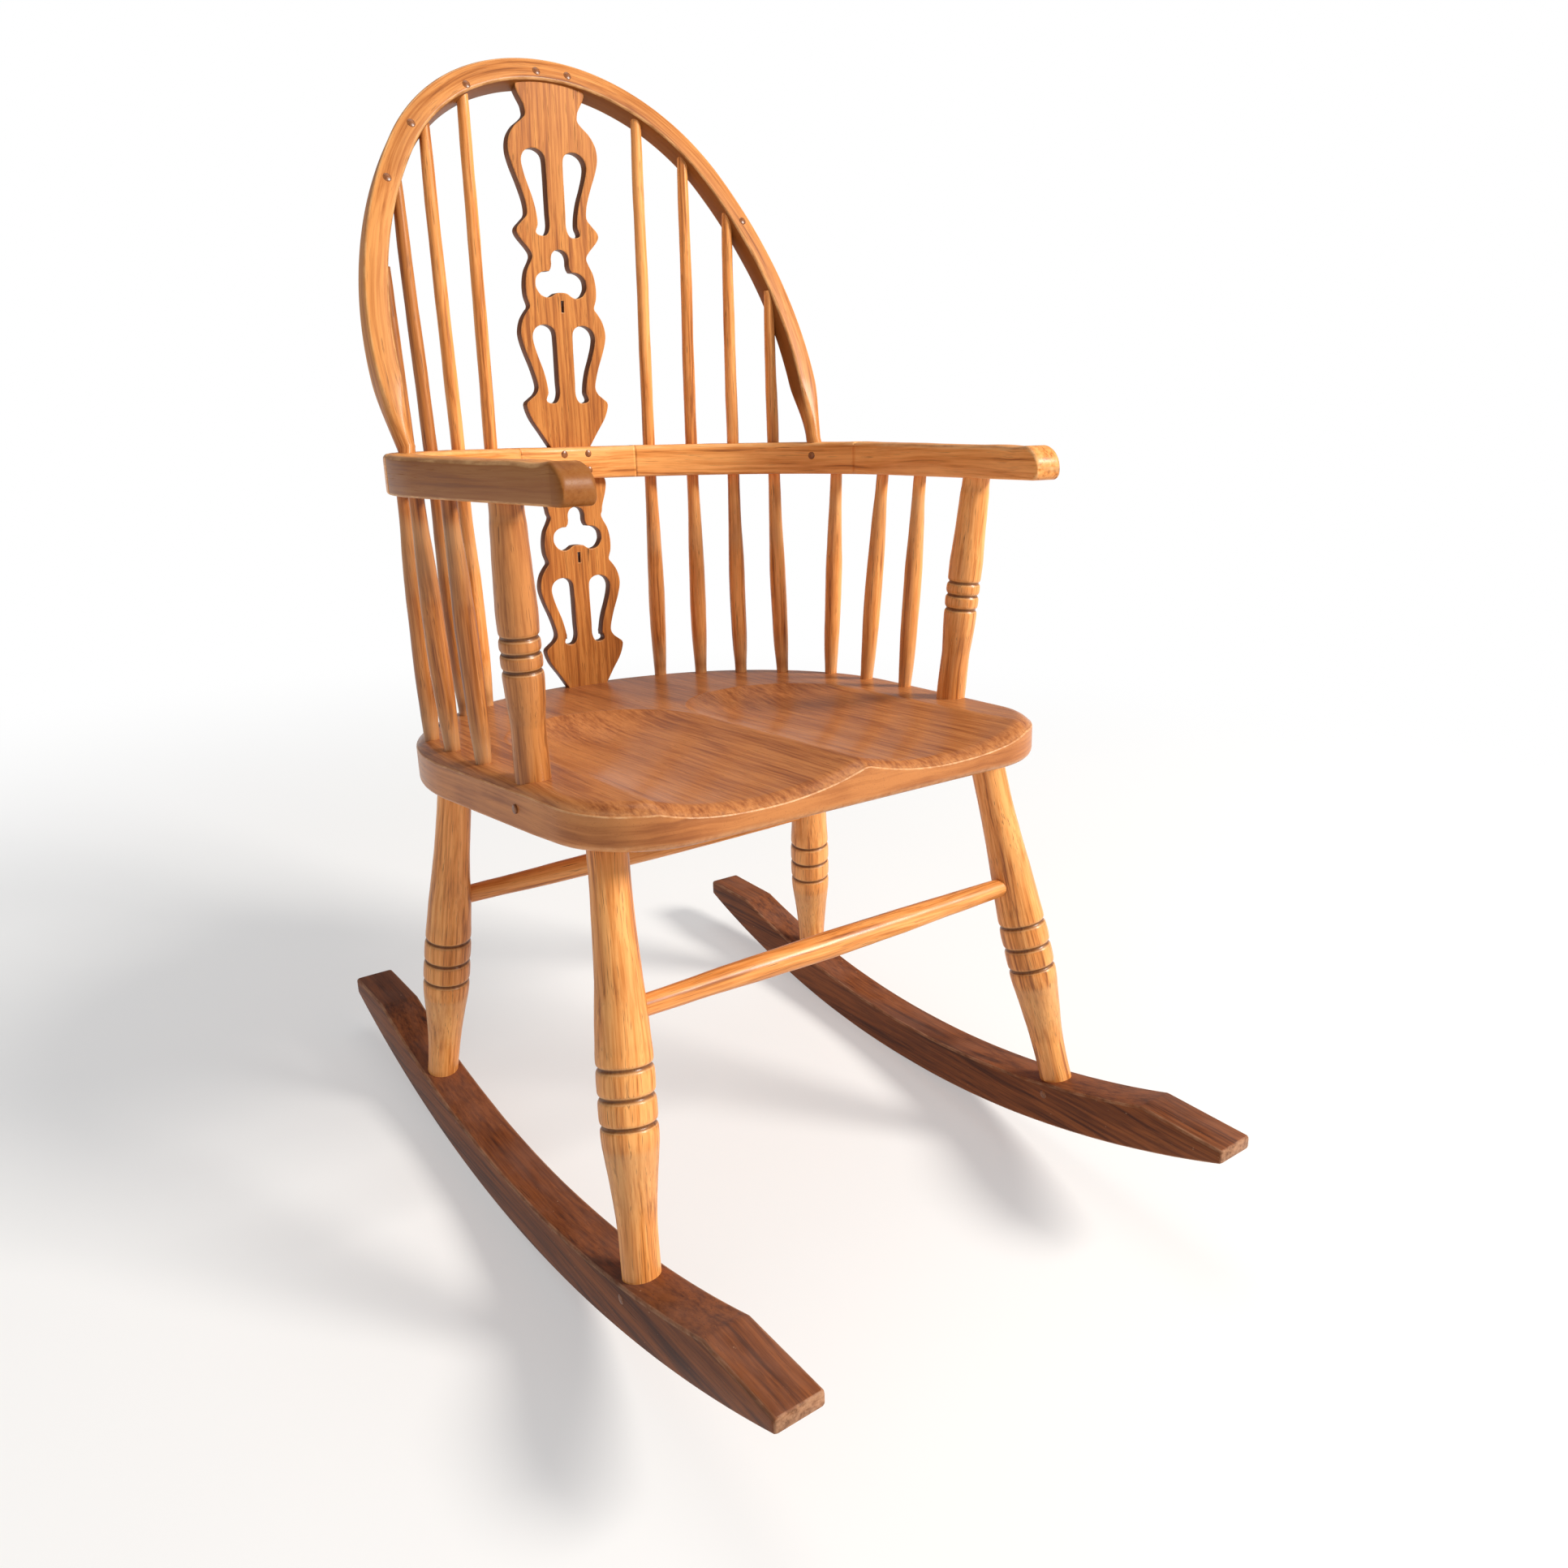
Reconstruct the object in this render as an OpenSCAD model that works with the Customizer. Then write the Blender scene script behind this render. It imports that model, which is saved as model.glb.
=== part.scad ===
// Bow-back Windsor rocking chair with turned legs and two pierced splats.
// Millimetres, +Z up, the sitter faces -Y and +X is the sitter's left.
// The origin is on the floor under the middle of the chair's bounding box.
// Parts are laid out in the chair's own frame, with the arms' undersides level,
// and the whole chair is then tipped back on its rockers by "recline".

/* [Whole chair] */
// how far the chair leans back when it rests on its rockers, degrees
recline = 5.1; // [2:0.1:7]
// slack around every tenon, peg and stick end
fit_gap = 0.15; // [0.05:0.05:0.3]

/* [Rockers] */
// radius of the rocking edge
rocker_radius = 1120; // [1000:20:1300]
// depth of the beam, measured towards the middle of the arc
rocker_height = 44; // [40:1:50]
// thickness of the beam, side to side
rocker_width = 42; // [38:1:48]
// distance between the two beams where they touch the floor
rocker_spread = 490; // [480:2:500]
// how far the beams open towards the back, degrees
rocker_toe = 0.8; // [-0.4:0.2:1.2]
// reach of the beam ahead of its lowest point
rocker_front = 414; // [390:2:430]
// reach of the beam behind its lowest point
rocker_rear = 420; // [390:2:430]
// depth left at the front tip
front_tip = 13; // [8:1:20]
// depth left at the rear tip
rear_tip = 18; // [8:1:24]
// length of the cut-down top at each tip
tip_cut = 86; // [60:2:100]

/* [Seat] */
// top of the seat above the floor, at its middle
seat_height = 437; // [430:1:445]
// thickness of the plank
seat_thick = 38; // [34:1:42]
// width across the widest part
seat_width = 530; // [524:2:560]
// depth from front edge to back edge
seat_depth = 530; // [528:1:545]
// radius of the front corners
seat_corner = 85; // [70:1:95]
// fall of the seat towards the back, degrees
seat_slope = 1; // [0:0.25:2]
// depth of the two scooped hollows
dish_depth = 14; // [8:1:16]
// sideways distance of each hollow from the middle
dish_offset = 99; // [95:1:110]
// radius of the scoop
dish_radius = 340; // [300:10:420]

/* [Legs] */
// thickest part of the turning
leg_belly = 46; // [42:0.5:50]
// thickness where the leg meets the rocker
leg_foot = 31; // [26:0.5:34]
// thickness where the leg meets the seat
leg_neck = 33; // [28:0.5:36]
// round tenon at either end of a leg
leg_tenon = 22; // [18:0.5:24]
// length of those tenons
leg_tenon_long = 24; // [16:1:26]
// amount the rear legs are cut short at the foot
rear_leg_cut = 14; // [0:1:20]
// thickness of the stretchers in the middle
stretcher_belly = 24; // [20:0.5:28]
// thickness of the stretchers at their ends
stretcher_end = 18; // [16:0.5:20]
// height of the front stretcher
front_stretcher_height = 267; // [240:1:300]
// height of the rear stretcher
rear_stretcher_height = 261; // [240:1:300]

/* [Arms] */
// height of the arms' underside, level with the seat's middle
arm_height = 660; // [650:1:670]
// thickness of the arm bow, top to bottom
arm_thick = 34; // [30:0.5:40]
// fall of the arm bow towards the front, degrees
arm_slope = 1; // [0:0.1:2]
// width of the arm bow, inner face to outer face
arm_width = 29; // [28:0.5:36]
// reach of the arms ahead of the seat's middle
arm_reach = 242; // [220:2:260]
// radius of the rounded-over nose
nose_radius = 20; // [12:1:24]
// thickest part of the arm posts
post_belly = 32.5; // [28:0.5:36]
// thickness of the arm posts at the arm
post_top = 26; // [22:0.5:28]
// round tenon at either end of an arm post
post_tenon = 16; // [12:0.5:18]

/* [Back] */
// lean of the hoop from upright, degrees
bow_lean = 20.6; // [18:0.2:22]
// half width of the hoop at its widest, to the middle of the wood
bow_half_width = 233; // [230:0.5:238]
// rise of the hoop above its widest place
bow_rise = 313; // [300:1:325]
// radius of the crown
crown_radius = 200.5; // [192:0.5:208]
// thickness of the hoop, both ways
bow_thick = 22; // [20:0.5:25]
// round end of the hoop where it stands in the arm
bow_foot = 16; // [14:0.5:18]
// thickness of a long stick at its fullest
stick_belly = 18.5; // [16:0.5:20]
// thickness of a long stick through the arm bow
stick_waist = 13.5; // [12:0.5:14.5]
// thickness of a long stick at the hoop
stick_tip = 11; // [9:0.5:12]
// thickness of the pierced boards
splat_thick = 12; // [9:0.5:13]
// half width of the pierced boards at their shoulders
splat_half_width = 49; // [44:0.5:51]

/* [Pegs] */
// thickness of the wooden pegs
peg = 8; // [6:0.5:9]

/* [Hidden] */
$fn = 96;
oak = [0.73, 0.46, 0.21];
dark_oak = [0.33, 0.19, 0.11];
peg_oak = [0.45, 0.26, 0.13];

function mix(a, b, t) = a + (b - a) * t;

// the rocking arc: its lowest point, then heights of its two edges
arc_y = -62;
rocker_inner = rocker_radius - rocker_height;
function under(y) = rocker_radius - sqrt(pow(rocker_radius, 2) - pow(y - arc_y, 2));
function upper(y) = rocker_radius - sqrt(pow(rocker_inner, 2) - pow(y - arc_y, 2));
function rocker_x(y) = rocker_spread / 2 + tan(rocker_toe) * (y - arc_y);

// seat plan: back arc, corner arcs and slightly tapered sides
seat_back = seat_depth / 2;
seat_back_r = 320;
seat_side_r = 240;
seat_turn = 20;
seat_taper = 5;
seat_side_x = (seat_back_r - seat_side_r) * sin(seat_turn) + seat_side_r;
seat_grow = seat_width / 2 - seat_side_x;
function seat_top(y) = seat_height - tan(seat_slope) * y;
function seat_under(y) = seat_top(y) - seat_thick / cos(seat_slope);

// arm bow plan, measured to the middle of its width
bow_back = 240;
bow_back_r = 300;
bow_side_r = 234;
bow_turn = 20;
arm_taper = 6;
bow_side_x = (bow_back_r - bow_side_r) * sin(bow_turn);
bow_side_y = bow_back - bow_back_r + (bow_back_r - bow_side_r) * cos(bow_turn);
function arm_under(y) = arm_height + tan(arm_slope) * y;
function arm_top(y) = arm_under(y) + arm_thick / cos(arm_slope);
function arm_x(y) = y > bow_side_y - bow_side_r * sin(arm_taper)
    ? bow_side_x + sqrt(pow(bow_side_r, 2) - pow(y - bow_side_y, 2))
    : bow_side_x + bow_side_r * cos(arm_taper)
      + (y - bow_side_y + bow_side_r * sin(arm_taper)) * tan(arm_taper);
// the arms lap inside the centre piece from this width and up to this depth
lap_x = 70;
lap_y = 45;

// legs: feet on the rockers, tops under the seat
front_foot = [rocker_x(-269), -269, upper(-269)];
rear_foot = [rocker_x(149), 149, upper(149)];
front_top = [207, -193, seat_under(-193)];
rear_top = [215, 105, seat_under(105)];
function on_line(a, b, z) = a + (b - a) * (z - a[2]) / (b[2] - a[2]);
front_joint = on_line(front_foot, front_top, front_stretcher_height);
rear_joint = on_line(rear_foot, rear_top, rear_stretcher_height);

// arm posts and short sticks: seat point kept in from the seat's side, arm point
seat_half = seat_width / 2;
post_low = [seat_half - 33, -120, seat_top(-120)];
post_high = [arm_x(-141), -141, arm_under(-141)];
arm_sticks = [
    [[seat_half - 25, 89], 78],
    [[seat_half - 22, 28], 13],
    [[seat_half - 24, -39], -51]
];

// hoop: a crown arc between two flatter side arcs, in its own leaning plane
bow_y = 100;
bow_z = arm_height + 39;
bow_spring = 70;
flank_radius = (pow(bow_half_width, 2) + pow(bow_rise - crown_radius, 2)
    - pow(crown_radius, 2)) / (2 * (bow_half_width - crown_radius));
flank_x = bow_half_width - flank_radius;
crown_y = bow_rise - crown_radius;
flank_turn = atan2(crown_y, -flank_x);
bow_inner = bow_thick / 2;
function hoop_height(x) =
    x < (crown_radius - bow_inner) * cos(flank_turn)
    ? bow_spring + crown_y + sqrt(pow(crown_radius - bow_inner, 2) - x * x)
    : bow_spring + sqrt(pow(flank_radius - bow_inner, 2) - pow(x - flank_x, 2));
function on_hoop(x, s) = [x, bow_y + s * sin(bow_lean), bow_z + s * cos(bow_lean)];
// the hoop's round ends stand in the arms, drilled to stay clear of both faces
foot_y = 94;
foot_high = on_hoop(flank_x + sqrt(pow(flank_radius, 2) - pow(bow_spring, 2)) + 2.5, 0);
foot_low = [arm_x(foot_y) - 1.5, foot_y, arm_under(foot_y) + 5];

// long sticks: seat point, width at the hoop, depth of the socket in the hoop
back_sticks = [
    [[95, 235], 95, 13],
    [[136, 209], 142, 15],
    [[172, 177], 182, 20],
    [[206, 139], 213, 34]
];
function stick_low(i) = [back_sticks[i][0][0], back_sticks[i][0][1], seat_top(back_sticks[i][0][1])];
function stick_high(i) = on_hoop(back_sticks[i][1], hoop_height(back_sticks[i][1]));
stick_socket = 20;

// splats: the upper one stands on the rail and reaches the hoop
splat_y = 243;
upper_low = arm_top(splat_y + splat_thick / 2);
crown_low = on_hoop(0, hoop_height(0));
upper_high = crown_low[2];
upper_tilt = atan2(crown_low[1] - splat_y, upper_high - upper_low);
upper_long = norm([crown_low[1] - splat_y, upper_high - upper_low]);
lower_low = seat_top(splat_y - splat_thick / 2);
lower_long = arm_under(splat_y - splat_thick / 2) - lower_low;
splat_tenon = 9;

// middle of the footprint after the chair is tipped back
front_edge = -rocker_radius * sin(asin(rocker_front / rocker_radius) + recline);
rear_edge = rocker_radius * sin(asin(rocker_rear / rocker_radius) - recline)
    + rear_tip * sin(recline);
middle_y = (front_edge + rear_edge) / 2;

// ---- placing ----

// tip the chair back about the middle of the rocking arc
module place() {
    translate([0, -middle_y, rocker_radius]) rotate([-recline, 0, 0])
        translate([0, -arc_y, -rocker_radius]) children();
}

// put the Z axis on the line from a to b
module along(a, b) {
    d = b - a;
    translate(a) rotate([0, acos(d[2] / norm(d)), atan2(d[1], d[0])]) children();
}

module side(s) {
    if (s > 0) children(); else mirror([1, 0, 0]) children();
}

module rod(a, b, d, before, after) {
    along(a, b) translate([0, 0, -before]) cylinder(d = d, h = norm(b - a) + before + after);
}

// ---- plan shapes ----

// a D-shaped plan made of a back arc, two corner arcs and tapered sides
module d_plan(back, back_r, side_r, turn, taper, grow, front) {
    c = [(back_r - side_r) * sin(turn), back - back_r + (back_r - side_r) * cos(turn)];
    m = [0, back - back_r];
    r = side_r + grow;
    p = [c[0] + r * cos(taper), c[1] - r * sin(taper)];
    e = [p[0] - (p[1] - front) * tan(taper), front];
    t = [(back_r + grow) * sin(turn), m[1] + (back_r + grow) * cos(turn)];
    intersection() {
        translate(m) circle(r = back_r + grow, $fn = 180);
        polygon([m, t * 2 - m, [-(t * 2 - m)[0], (t * 2 - m)[1]]]);
    }
    for (s = [1, -1]) translate([s * c[0], c[1]]) circle(r = r, $fn = 180);
    polygon([[e[0], e[1]], [p[0], p[1]], [c[0], c[1]], t,
             [-t[0], t[1]], [-c[0], c[1]], [-p[0], p[1]], [-e[0], e[1]]]);
}

module seat_plan() {
    front = -seat_depth / 2;
    r = seat_side_r + seat_grow;
    cx = (seat_back_r - seat_side_r) * sin(seat_turn);
    cy = seat_back - seat_back_r + (seat_back_r - seat_side_r) * cos(seat_turn);
    edge = cx + r * cos(seat_taper)
        - (cy - r * sin(seat_taper) - front - seat_corner) * tan(seat_taper);
    x = edge - seat_corner / cos(seat_taper);
    intersection() {
        d_plan(seat_back - seat_grow, seat_back_r, seat_side_r, seat_turn, seat_taper,
               seat_grow, front);
        union() {
            translate([-seat_width, front + seat_corner]) square([2 * seat_width, seat_depth]);
            translate([-x, front]) square([2 * x, seat_corner + 1]);
            for (s = [1, -1]) translate([s * x, front + seat_corner]) circle(r = seat_corner);
        }
    }
}

// points on an arc about c, and the same points with their sides swapped
function arc(c, r, from, to) = let (n = ceil(abs(to - from) / 2.5))
    [for (i = [0 : n]) let (t = mix(from, to, i / n)) c + r * [cos(t), sin(t)]];
function flip(points) = [for (i = [len(points) - 1 : -1 : 0]) [-points[i][0], points[i][1]]];

// outline of the arm bow, moved out from the middle of its width by grow
function bow_outline(grow) = let (
    c = [bow_side_x, bow_side_y],
    corner = arc(c, bow_side_r + grow, -arm_taper, 90 - bow_turn),
    back = arc([0, bow_back - bow_back_r], bow_back_r + grow, 90 - bow_turn, 90),
    nose = corner[0] - [tan(arm_taper), 1] * (corner[0][1] + arm_reach),
    half = concat([nose], corner, [for (i = [1 : len(back) - 1]) back[i]])
) concat(half, [for (i = [1 : len(half) - 1]) flip(half)[i]]);

module bow_plan(grow) {
    polygon(bow_outline(grow));
}

// the whole arm bow seen from above, as a bent strip
module strip_plan() {
    wide = 2 * arm_x(-arm_reach) - arm_width / cos(arm_taper);
    difference() {
        bow_plan(arm_width / 2);
        bow_plan(-arm_width / 2);
        translate([-wide / 2 + 1, -arm_reach - 1]) square([wide - 2, 20]);
    }
}

// one arm: the full strip in front of the lap, its inner half behind it
module arm_plan() {
    intersection() {
        strip_plan();
        union() {
            translate([0, -arm_reach - 1]) square([400, arm_reach + 1 + lap_y]);
            intersection() {
                bow_plan(0);
                translate([lap_x, 0]) square([400, 400]);
            }
        }
    }
}

// the centre piece: everything that the two arms leave
module rail_plan() {
    difference() {
        strip_plan();
        arm_plan();
        mirror([1, 0, 0]) arm_plan();
    }
}

// gives a plan the arm bow's thickness and its gentle fall to the front
module bow_slab() {
    intersection() {
        translate([0, 0, arm_height - 20]) linear_extrude(arm_thick + 40) children();
        translate([0, 0, arm_height]) rotate([arm_slope, 0, 0])
            translate([-400, -400, 0]) cube([800, 800, arm_thick]);
    }
}

// everything above the arm bow's underside, for cutting what stands below it
module over_arms(gap) {
    translate([0, 0, arm_height]) rotate([arm_slope, 0, 0])
        translate([-400, -400, -gap]) cube([800, 800, 200]);
}

// ---- rockers ----

// the part above a straight line from a tip to the beam's top, for cutting away
module tip_waste(y_tip, z_tip, y_cut) {
    a = [y_tip, z_tip];
    d = [y_cut, upper(y_cut)] - a;
    polygon([a - d * 0.1, a + d * 1.4, [a[0] + d[0] * 1.4, 300], [a[0] - d[0] * 0.1, 300]]);
}

module rocker_side() {
    front = arc_y - rocker_front;
    rear = arc_y + rocker_rear;
    difference() {
        translate([arc_y, rocker_radius]) circle(r = rocker_radius, $fn = 360);
        translate([arc_y, rocker_radius]) circle(r = rocker_inner, $fn = 360);
        translate([front - 2000, -100]) square([2000, 2500]);
        translate([rear, -100]) square([2000, 2500]);
        translate([front - 10, 300]) square([rear - front + 20, 2500]);
        tip_waste(front, under(front) + front_tip, front + tip_cut);
        tip_waste(rear, under(rear) + rear_tip, rear - tip_cut);
    }
}

module rocker_blank() {
    translate([rocker_spread / 2, arc_y, 0]) rotate([0, 0, -rocker_toe])
        translate([0, -arc_y, 0]) rotate([90, 0, 90])
        linear_extrude(rocker_width, center = true) rocker_side();
}

function tenon_mid(foot, top) = foot - (top - foot) / norm(top - foot) * leg_tenon_long / 2;

module rocker_peg_line(d, spare) {
    p = tenon_mid(front_foot, front_top);
    translate([p[0] - rocker_width / 2 - spare, p[1], p[2]]) rotate([0, 90, 0])
        cylinder(d = d, h = rocker_width + 2 * spare, $fn = 32);
}

module rocker(s) {
    color(dark_oak) place() side(s) difference() {
        rocker_blank();
        rod(front_foot, front_top, leg_tenon + 2 * fit_gap, leg_tenon_long, 10);
        rod(rear_foot, rear_top, leg_tenon + 2 * fit_gap, leg_tenon_long, 10);
        rocker_peg_line(peg, 5);
    }
}

// ---- seat ----

module seat_blank() {
    translate([0, 0, seat_height]) rotate([-seat_slope, 0, 0])
        translate([0, 0, -seat_thick]) linear_extrude(seat_thick) seat_plan();
}

// a long hollow running out over the front edge, with a round end at the back
module scoop() {
    translate([dish_offset, 0, dish_radius - dish_depth]) rotate([-90, 0, 0])
        rotate_extrude($fn = 180) {
            intersection() {
                circle(r = dish_radius, $fn = 180);
                square(dish_radius);
            }
            translate([0, -seat_depth]) square([dish_radius, seat_depth]);
        }
}

module seat_peg_line(spare) {
    p = post_low;
    translate([p[0] + 9 + fit_gap, p[1] - 8, p[2] - 20]) rotate([0, 90, 0])
        cylinder(d = peg, h = 60 + spare, $fn = 32);
}

module seat() {
    color(oak) place() difference() {
        seat_blank();
        translate([0, 0, seat_height]) rotate([-seat_slope, 0, 0])
            for (s = [1, -1]) side(s) scoop();
        for (s = [1, -1]) side(s) {
            rod(front_foot, front_top, leg_tenon + 2 * fit_gap, -200, leg_tenon_long);
            rod(rear_foot, rear_top, leg_tenon + 2 * fit_gap, -200, leg_tenon_long);
            rod(post_low, post_high, post_tenon + 2 * fit_gap, 22, 10);
            for (i = [0 : 3])
                rod(stick_low(i), stick_high(i), stick_waist + 2 * fit_gap, stick_socket, 10);
            for (a = arm_sticks)
                rod(arm_stick_low(a), arm_stick_high(a), stick_waist + 2 * fit_gap,
                    stick_socket, 10);
            seat_peg_line(10);
        }
        translate([-19 - fit_gap, splat_y - splat_thick / 2 - fit_gap, lower_low - splat_tenon])
            cube([38 + 2 * fit_gap, splat_thick + 2 * fit_gap, 30]);
    }
}

// ---- turned legs and stretchers ----

// half section of a leg, foot at zero, grooves measured from an uncut foot
module leg_turning(long, cut) {
    f = leg_foot / 2;
    b = leg_belly / 2;
    n = leg_neck / 2;
    rotate_extrude() polygon([
        [0, -12], [f, -12], [f, 22 - cut], [mix(f, b, 0.09), 45 - cut],
        [mix(f, b, 0.24), 58 - cut], [mix(f, b, 0.42), 71 - cut], [mix(f, b, 0.62), 84 - cut],
        [mix(f, b, 0.82), 97 - cut], [mix(f, b, 0.96), 110 - cut], [b, 118 - cut],
        [b - 2, 120.5 - cut], [b - 2, 123.5 - cut], [b - 0.2, 126 - cut], [b + 0.3, 133.5 - cut],
        [b - 0.2, 141 - cut], [b - 2, 143.5 - cut], [b - 2, 146.5 - cut], [b - 0.2, 149 - cut],
        [b + 0.3, 156.5 - cut], [b - 0.2, 164 - cut], [b - 2, 166.5 - cut],
        [b - 2, 169.5 - cut], [b - 0.2, 172 - cut], [mix(n, b, 0.86), 188 - cut],
        [mix(n, b, 0.77), 201 - cut], [mix(n, b, 0.64), 214 - cut], [mix(n, b, 0.5), 227 - cut],
        [mix(n, b, 0.37), 240 - cut], [mix(n, b, 0.19), 265 - cut], [mix(n, b, 0.06), 291 - cut],
        [n, 317 - cut], [n, long + 12], [0, long + 12]
    ]);
}

module leg_solid(foot, top, cut) {
    difference() {
        along(foot, top) leg_turning(norm(top - foot), cut);
        rocker_blank();
        seat_blank();
    }
    rod(foot, top, leg_tenon, leg_tenon_long, leg_tenon_long);
}

module leg_peg_line(h) {
    translate([front_joint[0], front_joint[1] - 8.5, front_joint[2]]) rotate([90, 0, 0])
        cylinder(d = peg, h = h, $fn = 32);
}

module leg_front(s) {
    color(oak) place() side(s) difference() {
        leg_solid(front_foot, front_top, 0);
        translate(front_joint - [40, 0, 0]) rotate([0, 90, 0])
            cylinder(d = 14 + 2 * fit_gap, h = 50, $fn = 48);
        leg_peg_line(30);
        rocker_peg_line(peg, 5);
    }
}

module leg_rear(s) {
    color(oak) place() side(s) difference() {
        leg_solid(rear_foot, rear_top, rear_leg_cut);
        translate(rear_joint - [40, 0, 0]) rotate([0, 90, 0])
            cylinder(d = 14 + 2 * fit_gap, h = 50, $fn = 48);
    }
}

// a turned rail across, with its shoulders cut to the legs
module stretcher(joint, foot, top, cut) {
    half = joint[0];
    e = stretcher_end / 2;
    b = stretcher_belly / 2;
    color(oak) place() {
        difference() {
            translate(joint - [half, 0, 0]) rotate([0, 90, 0]) rotate_extrude() polygon([
                [0, -half], [e, -half], [e, -half * 0.86], [mix(e, b, 0.45), -half * 0.6],
                [mix(e, b, 0.85), -half * 0.3], [b, -half * 0.1], [b, half * 0.1],
                [mix(e, b, 0.85), half * 0.3], [mix(e, b, 0.45), half * 0.6],
                [e, half * 0.86], [e, half], [0, half]
            ]);
            for (s = [1, -1]) side(s) along(foot, top) leg_turning(norm(top - foot), cut);
        }
        translate(joint - [half, 0, 0]) rotate([0, 90, 0])
            cylinder(d = 14, h = 2 * half + 20, center = true, $fn = 48);
    }
}

module front_stretcher() {
    stretcher(front_joint, front_foot, front_top, 0);
}

module rear_stretcher() {
    stretcher(rear_joint, rear_foot, rear_top, rear_leg_cut);
}

// ---- arms ----

module nose_side() {
    top = arm_top(-arm_reach + nose_radius);
    translate([-arm_reach + nose_radius, 0]) square([arm_reach + 300, arm_height + 2 * arm_thick]);
    translate([-arm_reach + nose_radius, top - nose_radius]) circle(r = nose_radius, $fn = 72);
}

module arm_peg_line() {
    translate([arm_x(foot_y) - arm_width / 2 - 3, foot_y, arm_under(foot_y) + 20]) rotate([0, 90, 0])
        cylinder(d = peg, h = 9, $fn = 32);
}

// the round end of the hoop, or its hole with a wider d and a longer reach above
module foot_tenon(d, below, above) {
    rod(foot_low, foot_high, d, below, above);
}

module arm_blank() {
    intersection() {
        bow_slab() arm_plan();
        rotate([90, 0, 90]) translate([0, 0, -400]) linear_extrude(800) nose_side();
    }
}

module arm(s) {
    color(oak) place() side(s) difference() {
        arm_blank();
        rod(post_low, post_high, post_tenon + 2 * fit_gap, 10, 16);
        for (a = arm_sticks)
            rod(arm_stick_low(a), arm_stick_high(a), stick_waist - 1 + 2 * fit_gap, 0, 18);
        for (i = [0 : 3])
            rod(stick_low(i), stick_high(i), stick_waist + 2 * fit_gap, 0, 0);
        foot_tenon(bow_foot + 2 * fit_gap, 0, 20);
        arm_peg_line();
    }
}

module rail_peg_line(x, z) {
    translate([x, bow_back - arm_width / 2 - 2, z]) rotate([-90, 0, 0])
        cylinder(d = peg, h = 8, $fn = 32);
}

module rail_peg_lines() {
    rail_peg_line(-14, upper_low - 8);
    rail_peg_line(14, upper_low - 8);
    rail_peg_line(14, upper_low - 25);
}

module arm_rail() {
    color(oak) place() difference() {
        bow_slab() rail_plan();
        for (s = [1, -1]) side(s) {
            for (i = [0 : 3])
                rod(stick_low(i), stick_high(i), stick_waist + 2 * fit_gap, 0, 0);
            for (a = arm_sticks)
                rod(arm_stick_low(a), arm_stick_high(a), stick_waist - 1 + 2 * fit_gap, 0, 18);
            foot_tenon(bow_foot + 2 * fit_gap, 0, 20);
        }
        translate([-21 - fit_gap, splat_y - splat_thick / 2 - fit_gap, arm_under(splat_y) - 5])
            cube([42 + 2 * fit_gap, splat_thick + 2 * fit_gap, splat_tenon + 5]);
        upper_plane() translate([-18 - fit_gap, -splat_thick / 2 - fit_gap, -splat_tenon])
            cube([36 + 2 * fit_gap, splat_thick + 2 * fit_gap, splat_tenon + 20]);
        rail_peg_lines();
    }
}

module post_turning(long) {
    b = post_belly / 2;
    t = post_top / 2;
    f = b - 1.8;
    w = b - 2.4;
    rotate_extrude() polygon([
        [0, -8], [f, -8], [f, 12], [w, 30], [w, 46], [mix(w, b, 0.45), 58],
        [mix(w, b, 0.8), 68], [b, 80], [b, 88], [b - 1.6, 90.5], [b - 1.6, 93],
        [b - 0.1, 95], [b + 0.3, 99], [b - 0.1, 103], [b - 1.6, 105], [b - 1.6, 107.5],
        [b - 0.1, 109.5], [b + 0.3, 113], [b - 0.1, 116.5], [b - 1.6, 118.5],
        [b - 1.6, 121], [b, 123], [b + 0.2, 134], [mix(t, b, 0.82), 150],
        [mix(t, b, 0.55), 172], [mix(t, b, 0.28), 195], [t, long - 4], [t, long + 8],
        [0, long + 8]
    ]);
}

module arm_post(s) {
    color(oak) place() side(s) {
        difference() {
            along(post_low, post_high) post_turning(norm(post_high - post_low));
            seat_blank();
            over_arms(0);
        }
        rod(post_low, post_high, post_tenon, 22, 16);
    }
}

function arm_stick_low(a) = [a[0][0], a[0][1], seat_top(a[0][1])];
function arm_stick_high(a) = [arm_x(a[1]), a[1], arm_under(a[1])];

module arm_stick(s, i) {
    a = arm_sticks[i];
    long = norm(arm_stick_high(a) - arm_stick_low(a));
    w = stick_waist / 2;
    b = stick_belly / 2;
    t = w - 0.5;
    color(oak) place() side(s) along(arm_stick_low(a), arm_stick_high(a))
        rotate_extrude($fn = 48) polygon([
            [0, -stick_socket], [w, -stick_socket], [w, 3], [mix(w, b, 0.55), 28],
            [mix(w, b, 0.85), 55], [b, 82], [b, 118], [mix(t, b, 0.8), 145],
            [mix(t, b, 0.45), 175], [mix(t, b, 0.12), long - 18], [t, long - 6],
            [t, long + 17], [0, long + 17]
        ]);
}

// ---- hoop and long sticks ----

// the region inside the hoop: flatter side arcs below, a crown arc on top
module hoop_plan(grow) {
    c = [0, bow_spring + crown_y];
    r = crown_radius + grow;
    translate(c) circle(r = r, $fn = 180);
    difference() {
        intersection() {
            translate([flank_x, bow_spring]) circle(r = flank_radius + grow, $fn = 180);
            translate([-flank_x, bow_spring]) circle(r = flank_radius + grow, $fn = 180);
        }
        polygon([c, c + 4 * r * [cos(flank_turn), sin(flank_turn)],
                 c + 4 * r * [-cos(flank_turn), sin(flank_turn)]]);
    }
}

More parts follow.
